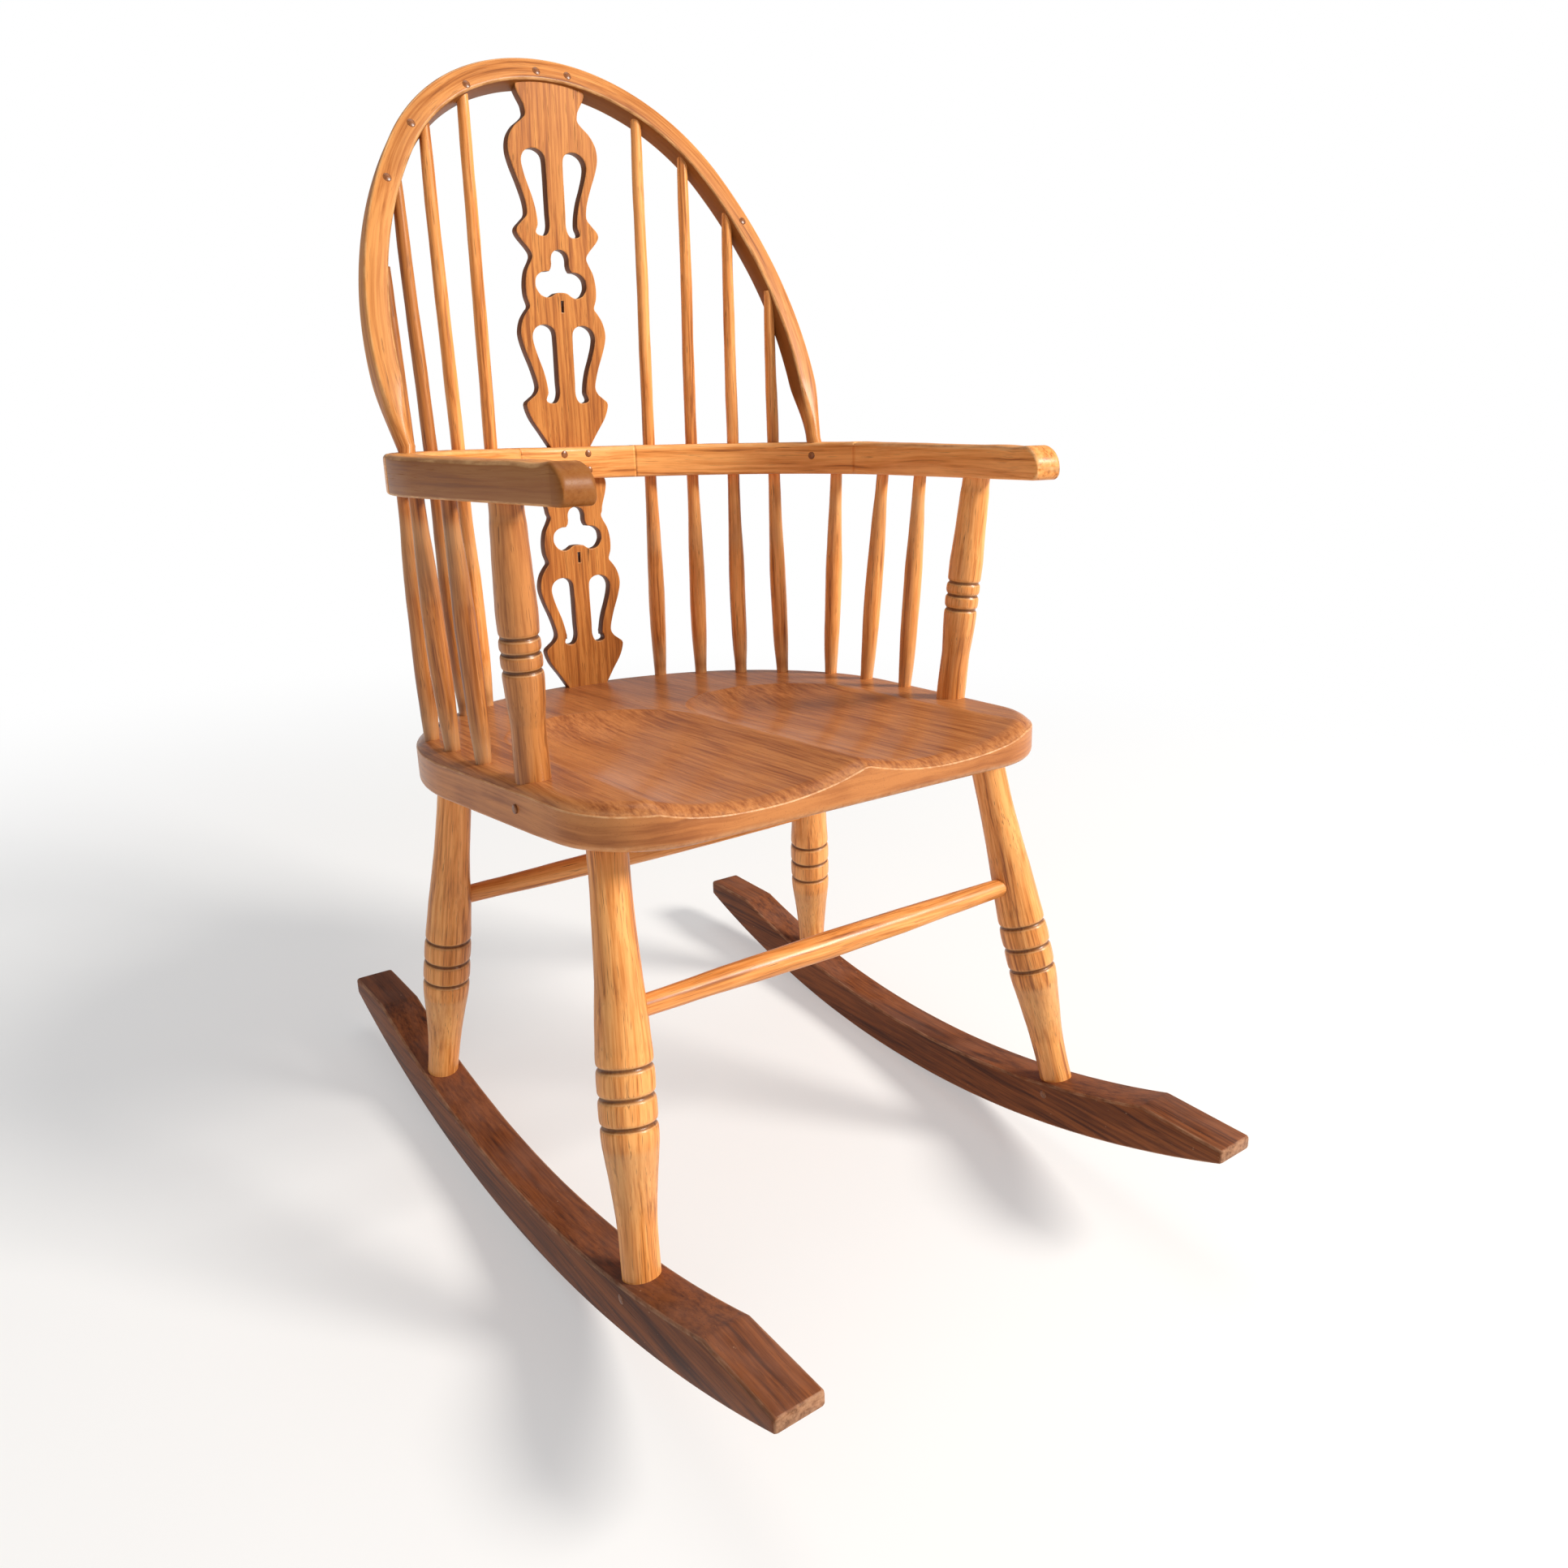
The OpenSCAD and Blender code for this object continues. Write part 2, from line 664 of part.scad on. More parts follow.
module hoop_plane() {
    translate([0, bow_y, bow_z]) rotate([90 - bow_lean, 0, 0]) children();
}

// the square bent bar, before its feet are shaved round
module hoop_bar() {
    hoop_plane() linear_extrude(bow_thick, center = true) difference() {
        hoop_plan(bow_thick / 2);
        hoop_plan(-bow_thick / 2);
        translate([-400, -900]) square([800, 900]);
    }
}

// pegs in the hoop's front face: width and height in the hoop's plane
bow_peg_spots = [[-14, 380], [20, 380], [-93, 354], [-158, 306], [-193, 250], [196, 243]];

module bow_peg_lines() {
    hoop_plane() for (p = bow_peg_spots)
        translate([p[0], p[1], bow_thick / 2 - 8]) cylinder(d = peg, h = 8.2, $fn = 32);
}

// shaves the hoop's ends from square to round
module foot_shaving(low, high) {
    difference() {
        hoop_plane() translate([100, -10, -50]) cube([200, bow_spring + 10, 100]);
        along(low, high) translate([0, 0, -1])
            cylinder(d1 = bow_foot, d2 = bow_thick * 1.5, h = norm(high - low) + 2);
    }
}

module back_bow() {
    low = foot_high;
    high = on_hoop(bow_half_width, bow_spring);
    color(oak) place() difference() {
        union() {
            difference() {
                hoop_bar();
                for (s = [1, -1]) side(s) foot_shaving(low, high);
            }
            for (s = [1, -1]) side(s) foot_tenon(bow_foot, -fit_gap, 3);
        }
        for (s = [1, -1]) side(s) for (i = [0 : 3])
            rod(stick_high(i), stick_high(i) * 2 - stick_low(i), stick_tip + 2 * fit_gap, 30,
                back_sticks[i][2] - norm(stick_high(i) - stick_low(i)));
        upper_plane() translate([-28 - fit_gap, -splat_thick / 2 - fit_gap, upper_long - 20])
            cube([56 + 2 * fit_gap, splat_thick + 2 * fit_gap, 20 + splat_tenon]);
        bow_peg_lines();
        for (s = [1, -1]) side(s) arm_peg_line();
    }
}

module back_stick(s, i) {
    a = stick_low(i);
    b = stick_high(i);
    long = norm(b - a);
    reach = back_sticks[i][2] - 0.5;
    full = stick_belly / 2;
    w = stick_waist / 2;
    t = stick_tip / 2;
    rail = (arm_under(a[1]) - a[2]) * long / (b[2] - a[2]);
    color(oak) place() difference() {
        side(s) along(a, b) rotate_extrude($fn = 48) polygon([
            [0, -stick_socket], [w, -stick_socket], [w, 4], [mix(w, full, 0.6), 30],
            [mix(w, full, 0.9), 60], [full, 95], [mix(w, full, 0.85), 130],
            [mix(w, full, 0.45), 170], [w, rail - 8], [w, rail + 50],
            [mix(w, t, 0.5), mix(rail + 50, long, 0.5)], [t, long - 8], [t, long + reach],
            [0, long + reach]
        ]);
        bow_peg_lines();
    }
}

// ---- pierced boards ----

// one long slot beside the middle strip; it widens at the top and kicks out at the foot
module slot(high, low) {
    k = splat_half_width / 46;
    h = high - low;
    translate([0, low]) union() {
        translate([21.5 * k, h - 13]) circle(r = 12.5 * k);
        polygon([[9 * k, h - 13], [34 * k, h - 13], [31.5 * k, h - 24], [27.5 * k, h - 36],
                 [23 * k, h - 50], [21 * k, h - 62], [22 * k, 5], [23 * k, 2],
                 [20 * k, 0], [12 * k, 0], [9 * k, 4]]);
        translate([18 * k, 5]) circle(r = 5.5 * k);
    }
}

// a three-lobed piercing with a short stalk slit under it
module club(y) {
    k = splat_half_width / 46;
    translate([0, y]) {
        translate([0, 19.5]) circle(r = 9.5 * k);
        polygon([[-9.2 * k, 19], [9.2 * k, 19], [12.5 * k, 0], [8 * k, -12],
                 [-8 * k, -12], [-12.5 * k, 0]]);
        for (s = [1, -1]) translate([s * 15.5 * k, -5]) circle(r = 12 * k);
    }
    translate([-1.5, y - 32]) square([3, 12]);
}

// half outline from the foot of a pattern up: foot, pointed hip, waist, shoulder
function pattern(z, foot) = [
    [foot, z], [31, z + 14], [41, z + 30], [44.5, z + 43], [41, z + 49], [35, z + 54],
    [31.8, z + 60], [32.5, z + 68], [36.5, z + 82], [42, z + 97], [45.5, z + 110],
    [45.8, z + 119], [43, z + 129], [38, z + 137], [34.8, z + 142]
];
// half outline round the three-lobed piercing
function lobes(z) = [[37.5, z + 10], [37.8, z + 22], [35.5, z + 34], [31, z + 43], [29, z + 49]];

module board(points, top, slots, clubs) {
    k = splat_half_width / 45.8;
    difference() {
        polygon(concat([for (p = points) [p[0] * k, p[1]]], [[top[0], top[1]]],
                       [[-top[0], top[1]]],
                       [for (i = [len(points) - 1 : -1 : 0]) [-points[i][0] * k, points[i][1]]]));
        for (s = slots) for (m = [1, -1]) side(m) slot(s[1], s[0]);
        for (y = clubs) club(y);
    }
}

module splat_slab() {
    rotate([90, 0, 0]) translate([0, 0, -splat_thick / 2]) linear_extrude(splat_thick) children();
}

module upper_plane() {
    translate([0, splat_y, upper_low]) rotate([-upper_tilt, 0, 0]) children();
}

module lower_splat() {
    color(oak) place() translate([0, splat_y, lower_low]) {
        splat_slab() board(
            concat(pattern(0, 22), lobes(142)),
            [35, lower_long], [[50, 124]], [172]);
        translate([-19, -splat_thick / 2, -splat_tenon + 0.2])
            cube([38, splat_thick, splat_tenon + 8]);
        translate([-21, -splat_thick / 2, lower_long - 8])
            cube([42, splat_thick, splat_tenon + 7.8]);
    }
}

module upper_splat() {
    t = upper_long;
    color(oak) place() difference() {
        union() {
            difference() {
                upper_plane() splat_slab() board(
                    concat(pattern(0, 21.5), lobes(142), [[32, 197], [42, 209], [43, 216]],
                           [[36, 224], [31.6, 230], [32.5, 242], [37.5, 258], [43.5, 274],
                            [46.5, 287], [45, 299], [39, 309], [31, 316], [27, 321],
                            [27.5, 328]]),
                    [33.7, t], [[46, 124], [211, 291]], [172 - 3]);
                hoop_bar();
            }
            upper_plane() {
                translate([-18, -splat_thick / 2, -splat_tenon + 0.2])
                    cube([36, splat_thick, splat_tenon + 8]);
                translate([-28, -splat_thick / 2, t - 8]) cube([56, splat_thick, splat_tenon + 7.8]);
            }
        }
        bow_peg_lines();
    }
}

// ---- pegs ----

module bow_pegs() {
    color(peg_oak) place() bow_peg_lines();
}

module rail_pegs() {
    color(peg_oak) place() {
        intersection() {
            rail_peg_lines();
            translate([0, 0, 300]) linear_extrude(600) strip_plan();
        }
        for (s = [1, -1]) side(s) intersection() {
            arm_peg_line();
            translate([0, 0, 300]) linear_extrude(600) strip_plan();
        }
    }
}

module rocker_pegs() {
    color(peg_oak) place() for (s = [1, -1]) side(s) rocker_peg_line(peg, 0);
}

module leg_pegs() {
    color(peg_oak) place() for (s = [1, -1]) side(s) intersection() {
        leg_peg_line(30);
        along(front_foot, front_top) leg_turning(norm(front_top - front_foot), 0);
    }
}

module seat_pegs() {
    color(peg_oak) place() for (s = [1, -1]) side(s) intersection() {
        seat_peg_line(0);
        seat_blank();
    }
}

seat();
rocker(1);  // rocker_left
rocker(-1);  // rocker_right
leg_front(1);  // leg_front_left
leg_front(-1);  // leg_front_right
leg_rear(1);  // leg_rear_left
leg_rear(-1);  // leg_rear_right
front_stretcher();
rear_stretcher();
arm(1);  // arm_left
arm(-1);  // arm_right
arm_rail();
arm_post(1);  // arm_post_left
arm_post(-1);  // arm_post_right
arm_stick(1, 0);  // arm_stick_left_1
arm_stick(1, 1);  // arm_stick_left_2
arm_stick(1, 2);  // arm_stick_left_3
arm_stick(-1, 0);  // arm_stick_right_1
arm_stick(-1, 1);  // arm_stick_right_2
arm_stick(-1, 2);  // arm_stick_right_3
back_bow();
back_stick(1, 0);  // back_stick_left_1
back_stick(1, 1);  // back_stick_left_2
back_stick(1, 2);  // back_stick_left_3
back_stick(1, 3);  // back_stick_left_4
back_stick(-1, 0);  // back_stick_right_1
back_stick(-1, 1);  // back_stick_right_2
back_stick(-1, 2);  // back_stick_right_3
back_stick(-1, 3);  // back_stick_right_4
upper_splat();
lower_splat();
bow_pegs();
rail_pegs();
rocker_pegs();
leg_pegs();
seat_pegs();
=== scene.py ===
"""A bow-back Windsor rocking chair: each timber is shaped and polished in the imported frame."""
import math
import random

import bpy
import numpy as np
from mathutils import Matrix, Vector


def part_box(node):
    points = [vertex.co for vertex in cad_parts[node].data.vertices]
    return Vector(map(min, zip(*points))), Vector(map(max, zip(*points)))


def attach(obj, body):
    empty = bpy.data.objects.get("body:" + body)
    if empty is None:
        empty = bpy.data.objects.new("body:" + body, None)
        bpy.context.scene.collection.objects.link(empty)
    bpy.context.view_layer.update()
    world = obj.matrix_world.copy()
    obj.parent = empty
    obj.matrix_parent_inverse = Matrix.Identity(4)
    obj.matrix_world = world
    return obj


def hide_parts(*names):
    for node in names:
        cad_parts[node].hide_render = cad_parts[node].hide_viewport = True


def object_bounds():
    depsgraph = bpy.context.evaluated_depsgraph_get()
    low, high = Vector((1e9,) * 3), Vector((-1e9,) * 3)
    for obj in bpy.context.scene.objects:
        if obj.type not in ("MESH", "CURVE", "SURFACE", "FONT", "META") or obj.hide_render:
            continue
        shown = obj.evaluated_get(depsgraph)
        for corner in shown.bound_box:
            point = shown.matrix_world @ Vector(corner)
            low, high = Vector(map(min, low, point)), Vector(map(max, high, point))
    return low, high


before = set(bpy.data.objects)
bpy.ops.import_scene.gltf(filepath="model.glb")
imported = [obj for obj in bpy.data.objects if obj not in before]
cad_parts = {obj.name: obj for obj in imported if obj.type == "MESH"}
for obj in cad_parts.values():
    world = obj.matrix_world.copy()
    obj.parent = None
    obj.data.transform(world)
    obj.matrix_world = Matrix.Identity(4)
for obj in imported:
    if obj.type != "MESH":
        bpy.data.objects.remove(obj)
CAD_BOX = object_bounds()

# ---- sizes in millimetres, in the chair's own frame: arms level, -Y the sitter's front ----
MM = 0.001
RECLINE = math.radians(5.1)
ARC_Y = -62.0
ROCKER_R, ROCKER_HIGH, ROCKER_WIDE = 1120.0, 44.0, 42.0
ROCKER_SPREAD, ROCKER_TOE = 490.0, math.radians(0.8)
ROCKER_FRONT, ROCKER_REAR = 414.0, 420.0
FRONT_TIP, REAR_TIP, TIP_CUT = 13.0, 18.0, 86.0
SEAT_HIGH, SEAT_THICK, SEAT_WIDE, SEAT_DEEP = 437.0, 38.0, 530.0, 530.0
SEAT_CORNER, SEAT_SLOPE = 85.0, math.radians(1.0)
SEAT_BACK_R, SEAT_SIDE_R = 320.0, 240.0
SEAT_TURN, SEAT_TAPER = math.radians(20), math.radians(5)
DISH_DEEP, DISH_X, DISH_R = 14.0, 99.0, 340.0
RIM_ARRIS, RIM_BROAD, RIM_ROLL = 1.6, 15.0, 5.5
ARM_HIGH, ARM_THICK, ARM_SLOPE, ARM_WIDE = 660.0, 34.0, math.radians(1.0), 29.0
ARM_REACH, NOSE_R, NOSE_THICK, NOSE_LOW_R = 242.0, 20.0, 30.5, 7.0
ARM_BACK, ARM_BACK_R, ARM_SIDE_R = 240.0, 300.0, 234.0
ARM_TURN, ARM_TAPER = math.radians(20), math.radians(6)
ARM_DIP_Y, ARM_DIP_DEEP, ARM_DIP_LONG = -205.0, 1.2, 16.0
LAP_X, LAP_Y, LAP_GAP = 70.0, 45.0, 0.15
HOOP_Y, HOOP_Z, HOOP_LEAN = 100.0, 699.0, math.radians(20.6)
HOOP_SPRING, HOOP_HALF, HOOP_RISE = 70.0, 233.0, 313.0
CROWN_R, HOOP_THICK, HOOP_FOOT, HOOP_FOOT_Y = 200.5, 22.0, 16.0, 94.0
SPLAT_Y, SPLAT_THICK, SPLAT_BEVEL = 243.0, 12.0, 0.9
SPLAT_BROAD, PIERCING_BROAD = 49 / 45.8, 49 / 46.0
STICK_BEND, HIDDEN_TENON = 2.5, 14.0
FRONT_LEG_Y, REAR_LEG_Y, REAR_LEG_CUT = -269.0, 149.0, 14.0
FRONT_RAIL_Z, REAR_RAIL_Z = 267.0, 261.0
LEG_TENON_LONG, PEG = 24.0, 8.0


def unit(v):
    v = np.asarray(v, float)
    return v / np.linalg.norm(v)


ARC_ROW_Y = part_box("rocker_left")[0].y / MM + ROCKER_R * math.sin(
    math.asin(ROCKER_FRONT / ROCKER_R) + RECLINE)


def leaned(y, z):
    """Turned back by the chair's recline."""
    c, s = math.cos(RECLINE), math.sin(RECLINE)
    return c * y + s * z, c * z - s * y


def place(points):
    """From the chair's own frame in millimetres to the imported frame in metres."""
    p = np.asarray(points, float).reshape(-1, 3)
    y, z = leaned(p[:, 1] - ARC_Y, p[:, 2] - ROCKER_R)
    return np.column_stack([p[:, 0], y + ARC_ROW_Y, z + ROCKER_R]) * MM


# ---- lines and heights that several timbers share ----
def rocker_under(y):
    return ROCKER_R - np.sqrt(ROCKER_R ** 2 - (y - ARC_Y) ** 2)


def rocker_upper(y):
    return ROCKER_R - np.sqrt((ROCKER_R - ROCKER_HIGH) ** 2 - (y - ARC_Y) ** 2)


def rocker_x(y):
    return ROCKER_SPREAD / 2 + math.tan(ROCKER_TOE) * (y - ARC_Y)


def seat_top(y):
    return SEAT_HIGH - math.tan(SEAT_SLOPE) * y


def seat_under(y):
    return seat_top(y) - SEAT_THICK / math.cos(SEAT_SLOPE)


def arm_under(y):
    return ARM_HIGH + math.tan(ARM_SLOPE) * y


def arm_top(y):
    return arm_under(y) + ARM_THICK / math.cos(ARM_SLOPE)


ARM_CX = (ARM_BACK_R - ARM_SIDE_R) * math.sin(ARM_TURN)
ARM_CY = ARM_BACK - ARM_BACK_R + (ARM_BACK_R - ARM_SIDE_R) * math.cos(ARM_TURN)
ARM_TURN_Y = ARM_CY - ARM_SIDE_R * math.sin(ARM_TAPER)


def arm_x(y):
    """The arm's middle line: straight in front, then round to the back."""
    if y > ARM_TURN_Y:
        return ARM_CX + math.sqrt(ARM_SIDE_R ** 2 - (y - ARM_CY) ** 2)
    return ARM_CX + ARM_SIDE_R * math.cos(ARM_TAPER) + (y - ARM_TURN_Y) * math.tan(ARM_TAPER)


def on_hoop(x, s):
    """A point in the hoop's leaning plane, s up it from the arms."""
    return np.array([x, HOOP_Y + s * math.sin(HOOP_LEAN), HOOP_Z + s * math.cos(HOOP_LEAN)])


CROWN_Y = HOOP_RISE - CROWN_R
FLANK_R = (HOOP_HALF ** 2 + CROWN_Y ** 2 - CROWN_R ** 2) / (2 * (HOOP_HALF - CROWN_R))
FLANK_X = HOOP_HALF - FLANK_R
FLANK_TURN = math.atan2(CROWN_Y, -FLANK_X)


def hoop_height(x):
    """How far up the hoop's plane its inner face is, at x."""
    inner = HOOP_THICK / 2
    if x < (CROWN_R - inner) * math.cos(FLANK_TURN):
        return HOOP_SPRING + CROWN_Y + math.sqrt((CROWN_R - inner) ** 2 - x * x)
    return HOOP_SPRING + math.sqrt((FLANK_R - inner) ** 2 - (x - FLANK_X) ** 2)


# Points where timbers meet.
def on_seat(x, y):
    return np.array([x, y, seat_top(y)])


def under_seat(x, y):
    return np.array([x, y, seat_under(y)])


def under_arm(y):
    return np.array([arm_x(y), y, arm_under(y)])


def on_rocker(y):
    return np.array([rocker_x(y), y, rocker_upper(y)])


FRONT_FOOT, FRONT_TOP = on_rocker(FRONT_LEG_Y), under_seat(207, -193)
REAR_FOOT, REAR_TOP = on_rocker(REAR_LEG_Y), under_seat(215, 105)
POST_LOW, POST_HIGH = on_seat(232, -120), under_arm(-141)
BOW_FOOT = under_arm(HOOP_FOOT_Y) + [-1.5, 0, 5]
# A short stick: its foot on the seat, and how far back its head is.
SHORT_STICKS = [((240, 89), 78), ((243, 28), 13), ((241, -39), -51)]
# A long stick: its foot on the seat, its head's x on the hoop, and how deep it goes in.
LONG_STICKS = [((95, 235), 95, 13), ((136, 209), 142, 15),
               ((172, 177), 182, 20), ((206, 139), 213, 34)]
# A peg on the hoop's face: its x, and how far up the hoop's plane it is.
HOOP_PEGS = [(-14, 380), (20, 380), (-93, 354), (-158, 306), (-193, 250), (196, 243)]


# ---- finishes ----
class Amount:
    """A value in a material. Arithmetic on it adds Math nodes."""

    def __init__(self, recipe, socket):
        self.recipe, self.socket = recipe, socket

    def _math(self, operation, a, b=None, clamp=False):
        return self.recipe.node("Math", "Value", {"operation": operation, "use_clamp": clamp},
                                **{"0": a, **({} if b is None else {"1": b})})

    def __add__(self, other): return self._math("ADD", self, other)
    def __radd__(self, other): return self._math("ADD", other, self)
    def __sub__(self, other): return self._math("SUBTRACT", self, other)
    def __rsub__(self, other): return self._math("SUBTRACT", other, self)
    def __mul__(self, other): return self._math("MULTIPLY", self, other)
    def __rmul__(self, other): return self._math("MULTIPLY", other, self)
    def clamped(self): return self._math("ADD", self, 0.0, clamp=True)

    def between(self, low, high):
        """0 at or under low, 1 at or over high, with a soft ramp from one to the other."""
        return self.recipe.node("MapRange", "Result", {"interpolation_type": "SMOOTHSTEP"},
                                **{"Value": self, "From Min": low, "From Max": high})


class Recipe:
    """The node tree of one material, or of the studio's surroundings."""

    def __init__(self, owner):
        owner.use_nodes = True
        self.owner, self.tree = owner, owner.node_tree
        self.tree.nodes.clear()

    def node(self, kind, out=None, settings=None, **sockets):
        """Adds a node: its type, the output wanted, its settings, then its values or links."""
        made = self.tree.nodes.new("ShaderNode" + kind)
        for key, value in (settings or {}).items():
            if key == "stops":
                ramp = made.color_ramp
                while len(ramp.elements) < len(value):
                    ramp.elements.new(0.5)
                for element, (at, colour) in zip(ramp.elements, value):
                    element.position, element.color = at, (*colour, 1.0)
            else:
                setattr(made, key, value)
        for key, value in sockets.items():
            socket = self.pick(made.inputs, key)
            if isinstance(value, Amount):
                self.tree.links.new(value.socket, socket)
            else:
                socket.default_value = value
        return Amount(self, self.pick(made.outputs, out)) if made.outputs else None

    @staticmethod
    def pick(sockets, key):
        """A socket by place, by its identifier or by name; the first where no key is given."""
        if key is None or key.isdigit():
            return sockets[int(key or 0)]
        return next((s for s in sockets if s.identifier == key), None) or sockets[key]

    def attribute(self, name, out="Fac"):
        return self.node("Attribute", out, {"attribute_name": name})

    def stretched(self, vector, across, along, shift=0.0):
        """Wood coordinates scaled across and along the grain."""
        return self.node("Mapping", "Vector", Vector=vector, Scale=(across, across, along),
                         Location=(shift, shift * 0.7, shift * 1.3))

    def noise(self, vector, detail=3.0, rough=0.55, warp=0.0, out="Fac"):
        return self.node("TexNoise", out, Vector=vector, Scale=1.0, Detail=detail,
                         Roughness=rough, Distortion=warp)

    def ramp(self, value, stops):
        return self.node("ValToRGB", "Color", {"stops": stops}, Fac=value)

    def blend(self, a, b, share):
        a, b = (c if isinstance(c, Amount) else (*c, 1.0) for c in (a, b))
        return self.node("Mix", "Result_Color", {"data_type": "RGBA"},
                         Factor_Float=share, A_Color=a, B_Color=b)

    def vector(self, operation, a, b):
        return self.node("VectorMath", "Vector", {"operation": operation}, **{"0": a, "1": b})

    def finish(self, colour, roughness, normal, coat, coat_roughness, specular):
        shader = self.node("BsdfPrincipled", "BSDF", **{
            "Base Color": colour, "Roughness": roughness, "Normal": normal, "Coat Weight": coat,
            "Coat Roughness": coat_roughness, "Specular IOR Level": specular})
        self.node("OutputMaterial", Surface=shader)
        return self.owner


# Pale mauve for up-facing rocker tops: partly dust, partly a painted reflection of the sky.
DUST_AND_SKY_SHEEN = (0.36, 0.205, 0.160)


def polished_wood(name, light, mid, dark, pore, edge, *, streak=0.5, pores=0.55, patch=0.35,
                  rough=0.36, coat=0.35, coat_rough=0.22, gloss=0.24, band=70.0,
                  dust_and_sheen=0.0, chips=0.0, side=None, rim=False):
    """Stained and waxed timber: growth bands, streaks and open pores run along the grain.

    side is the colour of a timber's narrow faces, and rim lays the grain of a seat's edge flat."""
    r = Recipe(bpy.data.materials.new(name))
    grain = r.attribute("grain", "Vector")
    drift = r.noise(r.stretched(grain, 16.0, 5.0), 2.0, 0.5, out="Color")
    drift = r.vector("SUBTRACT", drift, (0.5, 0.5, 0.5))
    warped = r.vector("ADD", grain, r.vector("MULTIPLY", drift, (0.012, 0.012, 0.012)))
    bands = r.noise(r.stretched(warped, band, 2.4), 3.0, 0.6, 0.6)
    streaks = r.noise(r.stretched(warped, 330.0, 9.0, 3.1), 4.0, 0.62)
    fine = r.noise(r.stretched(warped, 1100.0, 34.0, 7.7), 2.0, 0.5)
    open_pores = fine.between(0.56, 0.70) * streaks.between(0.42, 0.62)
    patches = r.noise(r.stretched(grain, 11.0, 4.5, 1.9), 3.0, 0.55)

    if rim:
        lying = r.node("Mapping", "Vector", Vector=warped, Scale=(9.0, 210.0, 9.0))
        edge_on = r.attribute("side")
        streaks = streaks * (1.0 - edge_on) + r.noise(lying, 4.0, 0.6) * edge_on
        plain = r.noise(r.stretched(grain, 14.0, 14.0, 2.6), 2.0)
        bands = bands * (1.0 - edge_on) + plain * edge_on
    tone = (bands * (1.0 - streak) + streaks * streak).between(0.33, 0.66)
    colour = r.ramp(tone, [(0.0, dark), (0.34, mid), (0.9, light)])
    colour = r.blend(colour, dark, patches.between(0.50, 0.78) * patch)
    colour = r.blend(colour, light, (1.0 - patches).between(0.52, 0.80) * patch * 0.6)
    colour = r.blend(colour, pore, open_pores * pores)

    ends = r.attribute("endgrain").between(0.55, 0.92)
    rings = r.noise(r.stretched(grain, 260.0, 260.0, 5.0), 3.0, 0.6)
    end_tone = r.ramp(rings.between(0.35, 0.65), [(0.0, dark), (1.0, edge)])
    colour = r.blend(colour, end_tone, ends * 0.55)

    # On the arms and the hoop this dark side colour is partly the wood's own, partly painted shade.
    if side is not None:
        colour = r.blend(colour, side, r.attribute("side") * 0.8)
    if rim:
        colour = r.blend(colour, light, r.attribute("side") * 0.18)

    groove = r.attribute("groove")
    colour = r.blend(colour, tuple(c * 0.30 for c in dark), groove * 0.85)
    # A pale band at the grooves' lips: partly dust, partly a painted highlight.
    dust_and_highlight = groove.between(0.05, 0.35) * (1.0 - groove.between(0.4, 0.8))
    colour = r.blend(colour, edge, dust_and_highlight * 0.35)

    scuffs = r.noise(r.stretched(grain, 160.0, 45.0, 9.3), 4.0, 0.65)
    rubbed = scuffs.between(0.34, 0.66) * 0.75 + 0.25
    wear = (r.attribute("wear").between(0.12, 0.75) * rubbed).clamped()
    colour = r.blend(colour, edge, wear * 0.62)
    if chips:
        specks = r.noise(r.stretched(grain, 240.0, 200.0, 4.4), 3.0, 0.7).between(0.70, 0.74)
        colour = r.blend(colour, edge, specks * chips)
    # Up-facing surfaces turn pale mauve: partly dust, partly a painted sky reflection.
    if dust_and_sheen:
        facing = r.node("NewGeometry", "Normal")
        up = r.node("SeparateXYZ", "Z", Vector=facing).between(0.45, 0.95)
        cover = r.noise(r.stretched(grain, 28.0, 12.0, 2.2), 4.0, 0.6).between(0.30, 0.72)
        colour = r.blend(colour, DUST_AND_SKY_SHEEN, up * cover * dust_and_sheen)
        roughness = rough + streaks * 0.10 + up * cover * 0.25
    else:
        roughness = rough + streaks * 0.12 - 0.06 + open_pores * 0.15
    height = streaks * 0.35 - open_pores * 0.9 + bands * 0.5
    normal = r.node("Bump", "Normal", Strength=0.22, Distance=0.0006, Height=height)
    if side is not None or rim:
        coat = coat * (1.0 - r.attribute("side") * 0.7)
    return r.finish(colour, roughness, normal, coat, coat_rough, gloss)


